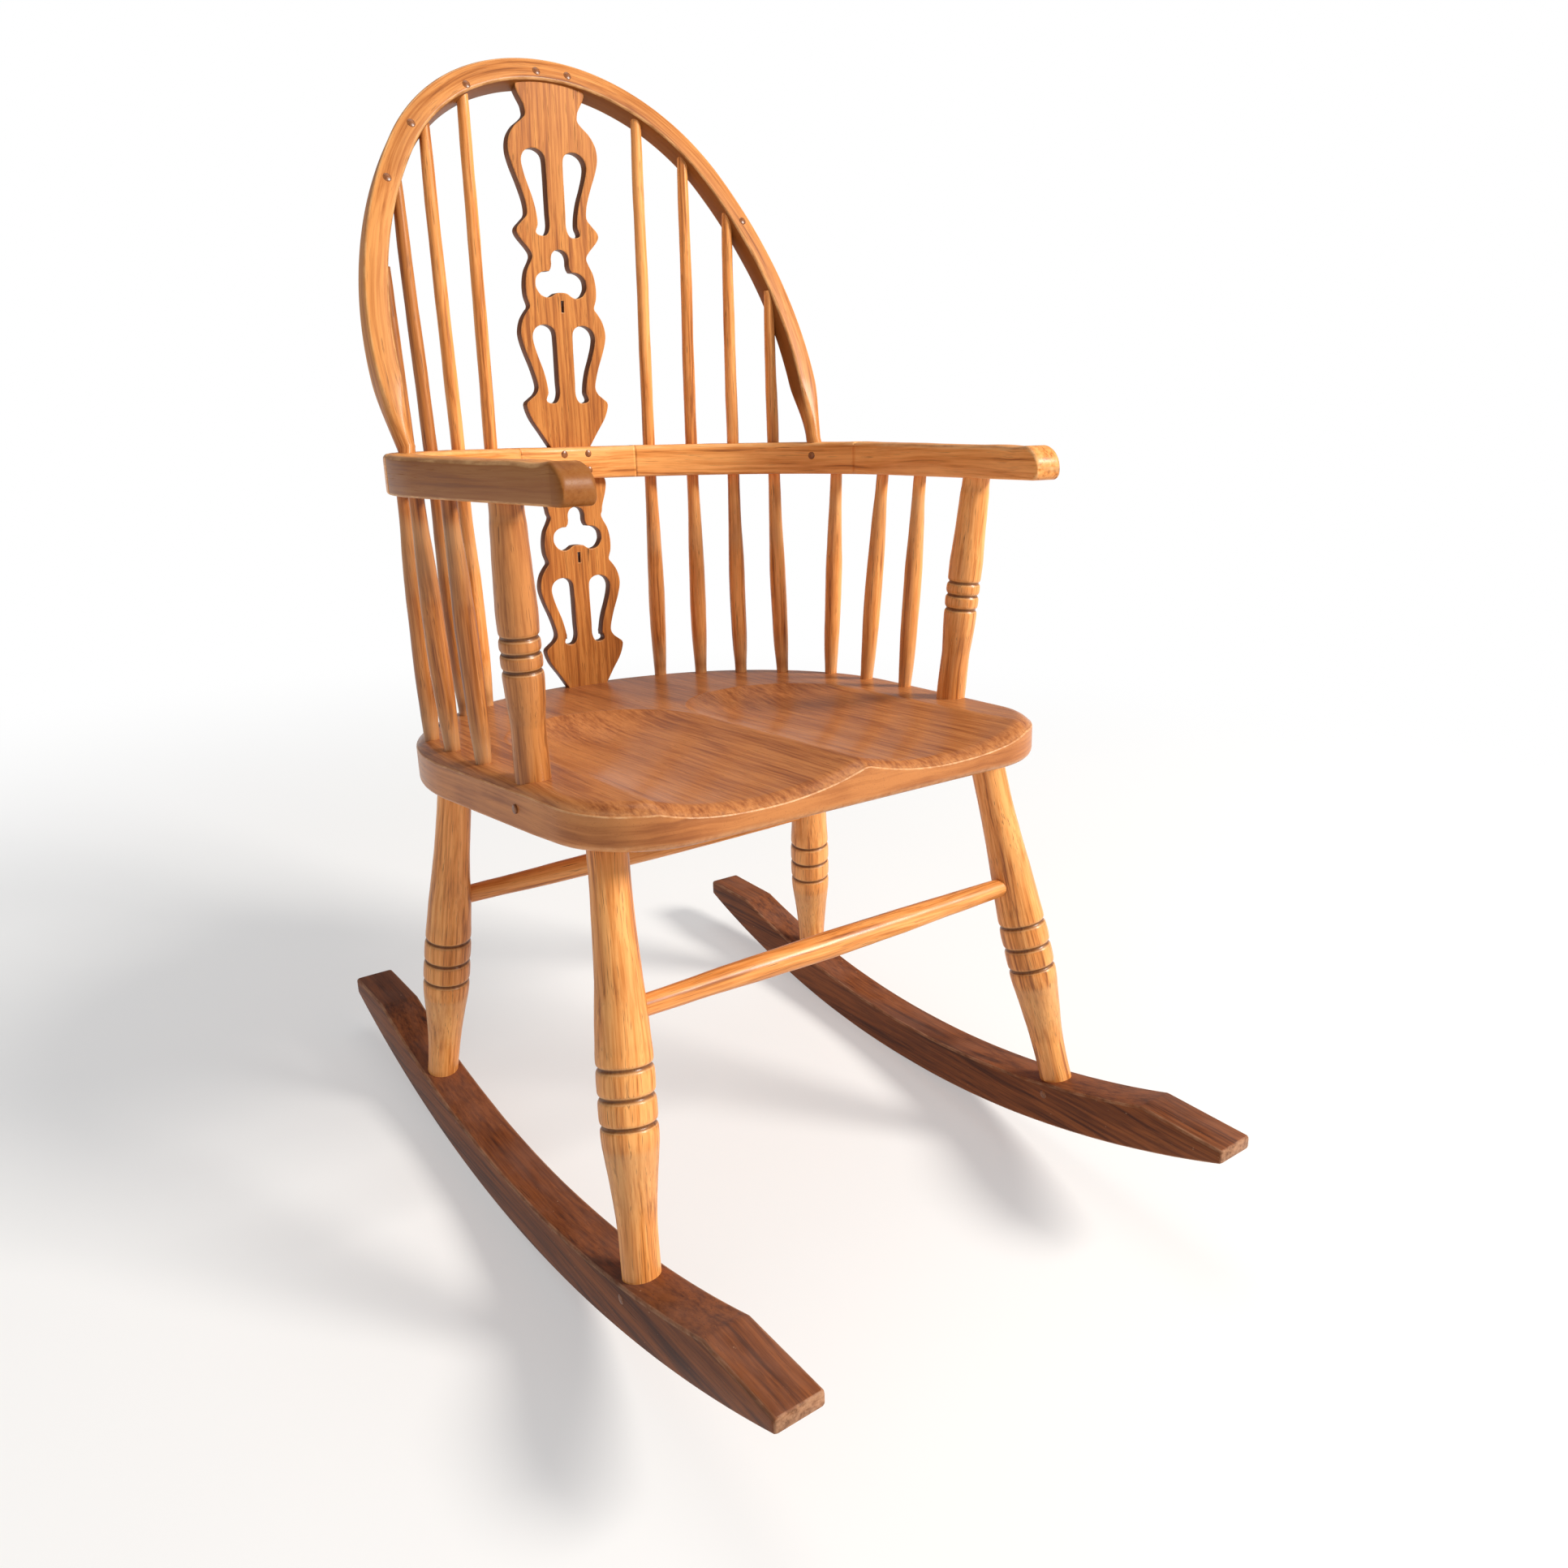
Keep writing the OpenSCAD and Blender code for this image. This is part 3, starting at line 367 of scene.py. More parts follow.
HONEY = dict(light=(0.95, 0.435, 0.135), mid=(0.72, 0.262, 0.060), dark=(0.29, 0.084, 0.018),
             pore=(0.105, 0.032, 0.009), edge=(0.88, 0.50, 0.22))
FINISHES = {
    "turned_wood": polished_wood(
        "waxed_turnings", **HONEY, streak=0.55, pores=0.75, coat=0.22, rough=0.40),
    # A darker copy of the turnings' wood: painted shade for the post and sticks on the sitter's
    # right.
    "painted_shade_turnings": polished_wood(
        "waxed_painted_shade_turnings", light=(0.56, 0.215, 0.056), mid=(0.37, 0.120, 0.026),
        dark=(0.155, 0.043, 0.010), pore=(0.075, 0.023, 0.007), edge=(0.78, 0.44, 0.20),
        streak=0.55, pores=0.75, coat=0.22, rough=0.38),
    # The arms' dark side colour is partly the wood's own, partly painted shade.
    "arm_wood": polished_wood(
        "waxed_arms", **HONEY, streak=0.5, pores=0.5, side=(0.20, 0.062, 0.010),
        coat=0.16, rough=0.42, gloss=0.14),
    # The hoop and the splats are darker than the turnings: painted shade on the chair's back.
    "hoop": polished_wood(
        "waxed_hoop", light=(0.70, 0.29, 0.080), mid=(0.47, 0.158, 0.034),
        dark=(0.20, 0.056, 0.012), pore=(0.085, 0.026, 0.008), edge=(0.86, 0.48, 0.20),
        side=(0.20, 0.062, 0.010), streak=0.5, pores=0.5, coat=0.14, rough=0.42, gloss=0.16),
    "splat_wood": polished_wood(
        "waxed_splats", light=(0.64, 0.255, 0.060), mid=(0.47, 0.158, 0.032),
        dark=(0.26, 0.076, 0.016), pore=(0.085, 0.026, 0.008), edge=(0.82, 0.44, 0.18),
        side=(0.11, 0.033, 0.010), streak=0.6, pores=0.85, coat=0.10, rough=0.44, gloss=0.16),
    "seat_wood": polished_wood(
        "waxed_seat", light=(0.56, 0.215, 0.066), mid=(0.40, 0.135, 0.040),
        dark=(0.25, 0.072, 0.022), pore=(0.12, 0.036, 0.014), edge=(0.90, 0.52, 0.26),
        streak=0.6, pores=0.45, rough=0.34, coat=0.26, coat_rough=0.20, band=40.0, rim=True,
        gloss=0.15),
    # The rockers' up-facing tops get pale mauve: partly dust, partly a painted sky reflection.
    "rocker_wood": polished_wood(
        "dark_rockers", light=(0.27, 0.080, 0.022), mid=(0.155, 0.043, 0.013),
        dark=(0.060, 0.017, 0.007), pore=(0.022, 0.007, 0.004), edge=(0.50, 0.27, 0.15),
        streak=0.55, pores=0.6, rough=0.42, coat=0.04, dust_and_sheen=0.24, chips=0.6, gloss=0.12),
    "peg_wood": polished_wood(
        "pegs", light=(0.36, 0.13, 0.035), mid=(0.22, 0.072, 0.020), dark=(0.10, 0.032, 0.010),
        pore=(0.04, 0.012, 0.005), edge=(0.60, 0.32, 0.14)),
}
DRAWS = random.Random(1907)


# ---- making a piece ----
def put(name, data):
    """A new object in the scene."""
    holder = bpy.data.objects.new(name, data)
    bpy.context.scene.collection.objects.link(holder)
    return holder


def timber(node, verts, faces, grain, slot, *, wear=None, groove=None, side=None, along=None,
           flat=None, finish=None):
    """A finished timber that stands for one CAD node.

    along is the grain's direction at each vertex, for the end grain, and flat marks the faces
    that aren't shaded smooth."""
    mesh = bpy.data.meshes.new(node + "_finished")
    mesh.from_pydata(place(verts).tolist(), [], [list(map(int, f)) for f in faces])
    mesh.validate()
    count = len(mesh.vertices)
    shift = np.array([DRAWS.uniform(-4, 4) for _ in range(3)])
    shifted = (np.asarray(grain, float) * MM + shift).astype(np.float32)
    layer = mesh.attributes.new("grain", "FLOAT_VECTOR", "POINT")
    layer.data.foreach_set("vector", shifted.ravel())
    mesh.update()
    ends = np.zeros(count)
    if along is not None:
        normals = np.zeros(count * 3, np.float32)
        mesh.vertices.foreach_get("normal", normals)
        turned_along = np.column_stack([along[:, 0], *leaned(along[:, 1], along[:, 2])])
        ends = np.abs((normals.reshape(-1, 3) * turned_along).sum(1))
    for name, values in (("endgrain", ends), ("wear", wear), ("groove", groove), ("side", side)):
        layer = mesh.attributes.new(name, "FLOAT", "POINT")
        if values is not None:
            layer.data.foreach_set("value", np.asarray(values, np.float32))
    smooth = np.ones(len(mesh.polygons), bool) if flat is None else ~np.asarray(flat, bool)
    mesh.polygons.foreach_set("use_smooth", smooth)
    mesh.materials.append(FINISHES[finish or slot])
    piece = put(node + "_finished", mesh)
    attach(piece, "root")
    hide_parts(node)


def mirrored(verts, faces):
    """The same timber on the other side of the chair."""
    swapped = np.asarray(verts, float).copy()
    swapped[:, 0] *= -1
    return swapped, [tuple(reversed(f)) for f in faces]


def flipped(p):
    """The same point on the other side of the chair."""
    return np.array([-p[0], p[1], p[2]])


def tube_faces(rings, around, capped=True):
    """Faces of a tube whose points are listed ring by ring."""
    faces = []
    for i in range(0, (rings - 1) * around, around):
        for j in range(around):
            k = (j + 1) % around
            faces.append((i + j, i + k, i + around + k, i + around + j))
    if capped:
        faces.append(tuple(reversed(range(around))))
        faces.append(tuple((rings - 1) * around + j for j in range(around)))
    return faces


def eased(x, y, at):
    """A smooth curve through points that never overshoots them."""
    x, y, at = (np.asarray(v, float) for v in (x, y, at))
    h, d = np.diff(x), np.diff(y) / np.diff(x)
    m = np.zeros_like(y)
    m[0], m[-1] = d[0], d[-1]
    for i in range(1, len(y) - 1):
        if d[i - 1] * d[i] > 0:
            w1, w2 = 2 * h[i] + h[i - 1], h[i] + 2 * h[i - 1]
            m[i] = (w1 + w2) / (w1 / d[i - 1] + w2 / d[i])
    i = np.clip(np.searchsorted(x, at, side="right") - 1, 0, len(x) - 2)
    t = (at - x[i]) / h[i]
    return ((2 * t ** 3 - 3 * t ** 2 + 1) * y[i] + (t ** 3 - 2 * t ** 2 + t) * h[i] * m[i]
            + (3 * t ** 2 - 2 * t ** 3) * y[i + 1] + (t ** 3 - t ** 2) * h[i] * m[i + 1])


def wander(at, size, wave):
    """Small slow unevenness left by hand tools, along a length."""
    total = np.zeros_like(at)
    for k in (1.0, 2.3, 4.1):
        total += np.sin(at / wave * k * 2 * math.pi + DRAWS.uniform(0, 6.28)) / k
    return total * size


def lathe(a, b, profile, around, step):
    """Verts, faces, grain and grooves of a turning from a to b. profile is (distance, radius)."""
    a, b = np.asarray(a, float), np.asarray(b, float)
    axis = unit(b - a)
    u = unit(np.cross(axis, (0.0, 1.0, 0.01)))
    v = np.cross(axis, u)
    d0, d1 = profile[0][0], profile[-1][0]
    d = np.linspace(d0, d1, max(8, int((d1 - d0) / step)))
    r = eased([p[0] for p in profile], [p[1] for p in profile], d)
    hull = np.array([r[max(0, i - 3):i + 4].max() for i in range(len(r))])
    dip = np.clip((hull - r - 0.15) / 1.4, 0, 1)
    turn = np.linspace(0, 2 * math.pi, around, endpoint=False)
    phase = DRAWS.uniform(0, 6.28)
    out_of_round = 1 + 0.007 * np.sin(2 * turn + phase)
    rr = (r + wander(d, 0.10, 90.0))[:, None] * out_of_round[None, :]
    side_u, side_v = wander(d, 0.25, 320.0), wander(d, 0.25, 270.0)
    cu, cv = rr * np.cos(turn) + side_u[:, None], rr * np.sin(turn) + side_v[:, None]
    verts = (a + d[:, None, None] * axis + cu[..., None] * u + cv[..., None] * v).reshape(-1, 3)
    grain = np.stack([cu, cv, np.repeat(d[:, None], around, 1)], -1).reshape(-1, 3)
    return verts, tube_faces(len(d), around), grain, np.repeat(dip, around)


def turning(node, a, b, profile, *, around=48, step, bend=None, finish=None):
    """bend is (where a stick is sprung furthest back, its whole length), both along it."""
    verts, faces, grain, groove = lathe(a, b, profile, around, step)
    if bend is not None:
        peak, long = bend
        d = np.clip(grain[:, 2], 0, long)
        verts[:, 1] += STICK_BEND * np.where(
            d < peak, np.sin(math.pi / 2 * d / peak),
            np.cos(math.pi / 2 * (d - peak) / (long - peak)))
    timber(node, verts, faces, grain, "turned_wood", groove=groove, finish=finish)


def pair(name, low, high, profile, number="", finish=None, **shape):
    """A turning on the sitter's left and its twin on the right, which may take a darker finish with
    painted shade.
    """
    turning(name + "_left" + number, low, high, profile, **shape)
    turning(name + "_right" + number, flipped(low), flipped(high), profile, finish=finish, **shape)


def section(w0, w1, z0, z1, radii, steps=4):
    """A bar's cross-section with rounded corners: points (w, z) and how worn each is.

    The corners run from (w0, z0) round by (w1, z0), (w1, z1) and (w0, z1)."""
    points, worn = [], []
    corners = [(w0, z0, 1, 1, 180), (w1, z0, -1, 1, 270), (w1, z1, -1, -1, 0), (w0, z1, 1, -1, 90)]
    limit = min(abs(w1 - w0), abs(z1 - z0)) / 2 * 0.98
    for (w, z, dw, dz, start), radius in zip(corners, radii):
        radius = min(radius, limit)
        for i in range(steps + 1):
            t = math.radians(start + 90 * i / steps)
            points.append((w + dw * radius + radius * math.cos(t),
                           z + dz * radius + radius * math.sin(t)))
            worn.append(math.sin(math.pi * i / steps))
    return np.array(points), np.array(worn)


# ---- seat ----
def arc(cx, cy, radius, start, stop, spacing=3.0):
    """Points along an arc, both of its ends among them."""
    n = max(2, int(abs(stop - start) * radius / spacing))
    return [(cx + radius * math.cos(t), cy + radius * math.sin(t))
            for t in np.linspace(start, stop, n)]


def even(points, spacing):
    """The same closed outline with evenly spaced points."""
    p = np.array(points + points[:1], float)
    run = np.concatenate([[0], np.cumsum(np.linalg.norm(np.diff(p, axis=0), axis=1))])
    at = np.linspace(0, run[-1], int(run[-1] / spacing), endpoint=False)
    return np.column_stack([np.interp(at, run, p[:, 0]), np.interp(at, run, p[:, 1])])


def seat_outline():
    """The seat's plan: a straight front, round corners, tapered sides and a bowed back."""
    back, front = SEAT_DEEP / 2, -SEAT_DEEP / 2
    cx = (SEAT_BACK_R - SEAT_SIDE_R) * math.sin(SEAT_TURN)
    grow = SEAT_WIDE / 2 - (cx + SEAT_SIDE_R)
    cy = back - grow - SEAT_BACK_R + (SEAT_BACK_R - SEAT_SIDE_R) * math.cos(SEAT_TURN)
    r = SEAT_SIDE_R + grow
    straight = cy - r * math.sin(SEAT_TAPER) - front - SEAT_CORNER
    edge = cx + r * math.cos(SEAT_TAPER) - straight * math.tan(SEAT_TAPER)
    nx = edge - SEAT_CORNER / math.cos(SEAT_TAPER)
    half = [(0.0, front)]
    half += arc(nx, front + SEAT_CORNER, SEAT_CORNER, -math.pi / 2, -SEAT_TAPER, 2.0)
    half += arc(cx, cy, r, -SEAT_TAPER, math.pi / 2 - SEAT_TURN)
    half += arc(0, back - grow - SEAT_BACK_R, SEAT_BACK_R + grow,
                math.pi / 2 - SEAT_TURN, math.pi / 2)
    return half + [(-x, y) for x, y in reversed(half[1:-1])]


def soft_max(a, b, k):
    """The larger of two surfaces, blended over about k where they cross."""
    top = np.maximum(a, b)
    return top + k * np.log(np.exp((a - top) / k) + np.exp((b - top) / k))


def dish(x, y):
    """Depth of the saddling below the seat's flat top."""
    depths = []
    for side in (1, -1):
        gap = DISH_R ** 2 - (x - side * DISH_X) ** 2 - np.maximum(y, 0) ** 2
        depths.append(np.sqrt(np.maximum(gap, 1.0)) - (DISH_R - DISH_DEEP))
    both = soft_max(depths[0], depths[1], 0.9)
    return soft_max(both, np.zeros_like(both), 0.7) - 0.7 * np.exp(-np.abs(both) / 0.7)


def make_seat():
    outline = even(seat_outline(), 3.2)
    n = len(outline)
    tangent = np.roll(outline, -1, 0) - np.roll(outline, 1, 0)
    tangent /= np.linalg.norm(tangent, axis=1)[:, None]
    outward = np.column_stack([tangent[:, 1], -tangent[:, 0]])
    front = np.clip((-outline[:, 1] - 150) / 90, 0, 1)
    corner = front * np.clip((np.abs(outline[:, 0]) - 110) / 90, 0, 1)
    low_r, roll = 4.0 + 5.0 * front, RIM_ROLL + 2.5 * corner

    # Each ring: its plan, whether it is on top, its height off that side, wear, share of edge.
    rings = []
    for t in np.linspace(0.0, 0.9, 6)[:-1]:
        rings.append((outline * (0.04 + t), False, 0.0, 0.0, 0.0))
    for i in range(6):
        a = math.pi / 2 * i / 5
        plan = outline - outward * (low_r * (1 - math.sin(a)))[:, None]
        rings.append((plan, False, low_r * (1 - math.cos(a)), 0.5 * math.sin(math.pi * i / 5), 1.0))
    for i in range(6):
        a = math.pi / 2 * i / 5 * 0.8
        plan = outline - outward * (RIM_ARRIS * (1 - math.cos(a)))
        drop = roll + RIM_ARRIS * (1 - math.sin(a))
        rings.append((plan, True, -drop, math.sin(math.pi * (i + 0.5) / 6), float(i < 5)))
    for t in (0.08, 0.17, 0.28, 0.40, 0.53, 0.66, 0.8, 0.92, 1.0):
        plan = outline - outward * (RIM_ARRIS * 0.7 + RIM_BROAD * t)
        rings.append((plan, True, -roll * (1 - t) ** 2, 0.45 * (1 - t) ** 3, 0.0))
    inner = rings[-1][0]
    for t in np.linspace(1.0, 0.0, 92)[1:-1]:
        rings.append((inner * t, True, 0.0, 0.0, 0.0))

    verts = []
    for plan, on_top, height, _, _ in rings:
        x, y = plan[:, 0], plan[:, 1]
        z = seat_top(y) - dish(x, y) if on_top else seat_under(y)
        verts.append(np.column_stack([x, y, z + height]))
    middle = np.zeros(1)
    verts.append([[0, 0, seat_top(0) - dish(middle, middle)[0]], [0, 0, seat_under(0)]])
    verts = np.concatenate(verts)
    base, top_mid, low_mid = (len(rings) - 1) * n, len(rings) * n, len(rings) * n + 1
    faces = tube_faces(len(rings), n, False)
    faces += [(base + j, base + (j + 1) % n, top_mid) for j in range(n)]
    faces += [((j + 1) % n, j, low_mid) for j in range(n)]
    wear, edge = (np.append(np.repeat([ring[k] for ring in rings], n), [0, 0]) for k in (3, 4))
    timber("seat", verts, faces, verts[:, [0, 2, 1]], "seat_wood", wear=wear, side=edge)


# ---- rockers ----
def make_rockers():
    front, rear = ARC_Y - ROCKER_FRONT, ARC_Y + ROCKER_REAR
    front_cut, rear_cut = front + TIP_CUT, rear - TIP_CUT
    ys = np.concatenate([
        [front, front + 0.6, front + 2], np.linspace(front + 6, front_cut - 3, 12),
        [front_cut - 0.8, front_cut + 0.8], np.linspace(front_cut + 4, rear_cut - 4, 110),
        [rear_cut - 0.8, rear_cut + 0.8], np.linspace(rear_cut + 3, rear - 6, 12),
        [rear - 2, rear - 0.6, rear]])
    shrink = np.interp(ys, [front, front + 0.6, front + 2, rear - 2, rear - 0.6, rear],
                       [1.6, 0.7, 0, 0, 0.7, 1.6])
    for name, sign in (("rocker_left", 1), ("rocker_right", -1)):
        verts, worn = [], []
        for y, s, dent in zip(ys, shrink, wander(ys, 0.25, 260.0)):
            low, high = rocker_under(y), rocker_upper(y)
            for end, tip, cut, t in ((front, FRONT_TIP, front_cut, (y - front) / TIP_CUT),
                                     (rear, REAR_TIP, rear_cut, (rear - y) / TIP_CUT)):
                if t < 1:  # the top is cut down in a straight line to the tip
                    high = (rocker_under(end) + tip) * (1 - t) + rocker_upper(cut) * t
            half = ROCKER_WIDE / 2 - s
            points, wear = section(-half + dent * 0.6, half, low + s * 0.6,
                                   high - s * 0.6 + dent * 0.3, (2.5, 2.5, 3.2, 3.2))
            verts.append(np.column_stack([
                rocker_x(y) + points[:, 0], np.full(len(points), y), points[:, 1]]))
            worn.append(np.maximum(wear, float(s > 0.3)))
        faces = [tuple(reversed(f)) for f in tube_faces(len(ys), len(verts[0]))]
        verts, worn = np.concatenate(verts), np.concatenate(worn)
        grain = verts[:, [0, 2, 1]]
        if sign < 0:
            verts, faces = mirrored(verts, faces)
        along = np.tile((0.0, 1.0, 0.0), (len(verts), 1))
        timber(name, verts, faces, grain, "rocker_wood", wear=worn, along=along)


# ---- turned legs, rails, posts and sticks ----
def leg_profile(long, cut):
    """A leg from its foot up; cut is how much shorter below its rings it is than a front leg."""
    points = [
        (-4, 31), (19, 31.2), (32, 31.7), (45, 32.7), (58, 34.6), (71, 37.2), (84, 40),
        (97, 43.1), (108, 45.6), (116.5, 46.4), (119.4, 45.8), (122.1, 41.4), (124.8, 45.8),
        (127.5, 46.6), (133.4, 46.8), (139.4, 46.6), (142.1, 45.8), (144.8, 41.4), (147.5, 45.8),
        (150.2, 46.6), (156.5, 46.8), (162.9, 46.4), (165.6, 45.6), (168.3, 41.2), (171.0, 45.2),
        (174.0, 45.6), (188, 44.2), (201, 43), (214, 41.5), (227, 39.7), (240, 37.9), (265, 35.4),
        (291, 33.7), (317, 33), (long + 5 + cut, 33)]
    kept = [(d - cut, w / 2) for d, w in points if d - cut > -3]
    return [(-5.0, kept[0][1])] + kept


def up_leg(foot, top, z):
    """The point of a leg's middle line at a height."""
    return foot + (top - foot) * (z - foot[2]) / (top[2] - foot[2])


def make_legs():
    for name, foot, top, cut in (("leg_front", FRONT_FOOT, FRONT_TOP, 0.0),
                                 ("leg_rear", REAR_FOOT, REAR_TOP, REAR_LEG_CUT)):
        pair(name, foot, top, leg_profile(np.linalg.norm(top - foot), cut), step=1.3)
    for name, joint in (("front_stretcher", up_leg(FRONT_FOOT, FRONT_TOP, FRONT_RAIL_Z)),
                        ("rear_stretcher", up_leg(REAR_FOOT, REAR_TOP, REAR_RAIL_Z))):
        half = joint[0]
        widths = [(0.0, 18), (0.14, 18.4), (0.4, 20.6), (0.7, 23), (1.0, 24.2)]
        side = [(half * share, w / 2) for share, w in widths]
        profile = side + [(2 * half - d, r) for d, r in reversed(side[:-1])]
        profile = [p for p in profile if 15 < p[0] < 2 * half - 15]
        profile = [(14.0, 9.0)] + profile + [(2 * half - 14, 9.0)]
        turning(name, joint - [2 * half, 0, 0], joint, profile, around=36, step=3.0)


def post_profile(long):
    points = [
        (-5, 28.9), (10, 28.9), (33, 28), (45, 27.9), (57, 29.4), (68, 31), (80, 32.3), (86, 32.7),
        (89.5, 32), (92, 28.6), (94.5, 32), (97, 32.8), (101.5, 32.9), (104, 31.8), (106, 28.6),
        (108.2, 31.8), (111, 32.8), (114.5, 32.6), (116.5, 31.6), (118.6, 28.4), (120.8, 31.6),
        (124, 32.4), (137, 32.8), (148, 31.9), (159, 31), (170, 30), (181, 29.2), (192, 28.4),
        (202, 28), (213, 26.4), (long + 4, 26)]
    return [(d, w / 2) for d, w in points]


def short_stick_profile(long):
    points = [(-4, 13.8), (3, 14), (28, 16.2), (55, 17.8), (82, 18.6), (118, 18.6), (145, 17.4),
              (175, 15.4), (long - 18, 13.2), (long + 4, 12.8)]
    return [(d, w / 2) for d, w in points]


def long_stick_profile(long, rail, hidden):
    points = [(-4, 13.6), (4, 13.8), (30, 16.6), (60, 18.2), (95, 18.7), (130, 17.9), (170, 15.6),
              (rail - 8, 13.6), (rail + 50, 13.5), ((rail + 50 + long) / 2, 12.6),
              (long - 8, 11.2), (long + hidden, 10.4)]
    return [(d, w / 2) for d, w in points]


def make_posts_and_sticks():
    # The post and short sticks on the sitter's right take the darker copy of the wood: painted
    # shade.
    pair("arm_post", POST_LOW, POST_HIGH, post_profile(np.linalg.norm(POST_HIGH - POST_LOW)),
         step=1.2, around=44, finish="painted_shade_turnings")
    for i, (foot, head_y) in enumerate(SHORT_STICKS, 1):
        low, high = on_seat(*foot), under_arm(head_y)
        pair("arm_stick", low, high, short_stick_profile(np.linalg.norm(high - low)), f"_{i}",
             "painted_shade_turnings", around=28, step=4.0)
    for i, (foot, head_x, deep) in enumerate(LONG_STICKS, 1):
        low, high = on_seat(*foot), on_hoop(head_x, hoop_height(head_x))
        long = np.linalg.norm(high - low)
        rail = (arm_under(foot[1]) - low[2]) * long / (high[2] - low[2])
        profile = long_stick_profile(long, rail, min(deep - 3, HIDDEN_TENON))
        # Long sticks 3 and 4 on the sitter's right take the same painted shade.
        pair("back_stick", low, high, profile, f"_{i}", "painted_shade_turnings" if i > 2 else None,
             around=28, step=5.0, bend=(rail, long))


# ---- arm bow ----
FULL_BAR = (0.0, ARM_THICK)
BAR_CORNERS = (3.0, 2.5, 4.6, 5.0)


def arm_line():
    """Middle line of the arm bow's left half, nose to back: points (x, y, outward angle)."""
    points = []
    for y in np.linspace(-ARM_REACH + NOSE_R, ARM_TURN_Y, 40)[:-1]:
        points.append((arm_x(y), y, -ARM_TAPER))
    for t in np.linspace(-ARM_TAPER, math.pi / 2 - ARM_TURN, 90)[:-1]:
        points.append((ARM_CX + ARM_SIDE_R * math.cos(t), ARM_CY + ARM_SIDE_R * math.sin(t), t))
    for t in np.linspace(math.pi / 2 - ARM_TURN, math.pi / 2, 40):
        points.append((ARM_BACK_R * math.cos(t),
                       ARM_BACK - ARM_BACK_R + ARM_BACK_R * math.sin(t), t))
    return points


def bar_mesh(rings):
    """A curved bar: verts, faces, wear, outer face and grain. Each ring has its station, its
    span (inner, outer), its corners' radii and its heights (low, high) over the underside."""
    verts, worn, faced, grain = [], [], [], []
    reach = 0.0
    run = np.arange(len(rings)) * 6.0
    lean, rise = wander(run, 0.3, 210.0), wander(run, 0.3, 170.0)
    for i, ((x, y, t), (inner, outer), radii, (low, high)) in enumerate(rings):
        points, wear = section(inner + lean[i] * 0.5, outer + lean[i] * 0.3,
                               low, high + rise[i] * 0.5, radii)
        px, py = x + points[:, 0] * math.cos(t), y + points[:, 0] * math.sin(t)
        verts.append(np.column_stack([px, py, arm_under(py) + points[:, 1]]))
        worn.append(wear)
        faced.append(np.clip((points[:, 0] - (outer - 3.0)) / 2.4, 0, 1))
        if i:
            reach += math.dist((x, y), rings[i - 1][0][:2])
        grain.append(np.column_stack([points, np.full(len(points), reach)]))
    faces = tube_faces(len(rings), len(verts[0]))
    return np.concatenate(verts), faces, *(np.concatenate(v) for v in (worn, faced, grain))


def make_arms():
    line = arm_line()
    half = ARM_WIDE / 2
    plain = [p for p in line if p[0] > LAP_X and p[1] < LAP_Y]
    lap = [p for p in line if p[0] > LAP_X and p[1] >= LAP_Y]
    middle = [p for p in line if p[0] <= LAP_X]

    rings = []
    for t in np.linspace(math.pi / 2, 0, 19)[:-1]:
        y, c = -ARM_REACH + NOSE_R * (1 - math.sin(t)), math.cos(t)
        pinch = 1.8 * (1 - c) ** 2
        gone = max(0.0, NOSE_LOW_R - (y + ARM_REACH))
        low = NOSE_LOW_R - math.sqrt(max(0.0, NOSE_LOW_R ** 2 - gone ** 2))
        high = NOSE_THICK - NOSE_R + NOSE_R * max(c, 0.06)
        rings.append(((arm_x(y), y, -ARM_TAPER), (-half + pinch, half - pinch),
                      (2.5, 2.5, 4.0, 4.0), (low, high)))
    for p in plain:
        share = min(1.0, max(0.0, (LAP_Y - p[1]) / (LAP_Y + ARM_REACH - NOSE_R)))
        high = ARM_THICK - (ARM_THICK - NOSE_THICK) * share * (2 - share)
        rings.append((p, (-half, half), BAR_CORNERS, (0.0, high)))
    rings += [(p, (-half, -LAP_GAP), (3.0, 0.5, 0.5, 5.0), FULL_BAR) for p in plain[-1:] + lap]
    verts, faces, worn, outside, grain = bar_mesh(rings)
    top = verts[:, 2] > arm_under(verts[:, 1]) + ARM_THICK * 0.6
    verts[:, 2] -= top * ARM_DIP_DEEP * np.exp(-((verts[:, 1] - ARM_DIP_Y) / ARM_DIP_LONG) ** 2)
    # The outer faces take the dark side colour: partly darker side wood, partly painted shade.
    outside *= np.clip((LAP_Y + 60 - verts[:, 1]) / 60, 0, 1)
    # The right arm's nose also takes the dark side colour and loses its pale wear: partly darker
    # wood, partly painted shade.
    nose_tone_and_shade = np.clip((-ARM_REACH + 26 - verts[:, 1]) / 14, 0, 1)
    timber("arm_left", verts, faces, grain, "arm_wood", wear=worn, side=outside)
    timber("arm_right", *mirrored(verts, faces), grain, "arm_wood", wear=worn * (1 - nose_tone_and_shade),
           side=np.maximum(outside, nose_tone_and_shade * 1.1))

    rings = [(p, (LAP_GAP, half), (0.5, 2.5, 4.6, 0.5), FULL_BAR) for p in lap]
    rings += [(p, (-half, half), BAR_CORNERS, FULL_BAR) for p in lap[-1:] + middle]
    rings += [((-x, y, math.pi - t), *rest) for (x, y, t), *rest in reversed(rings[:-1])]
    verts, faces, worn, _, grain = bar_mesh(rings)
    timber("arm_rail", verts, faces, grain, "arm_wood", wear=worn)


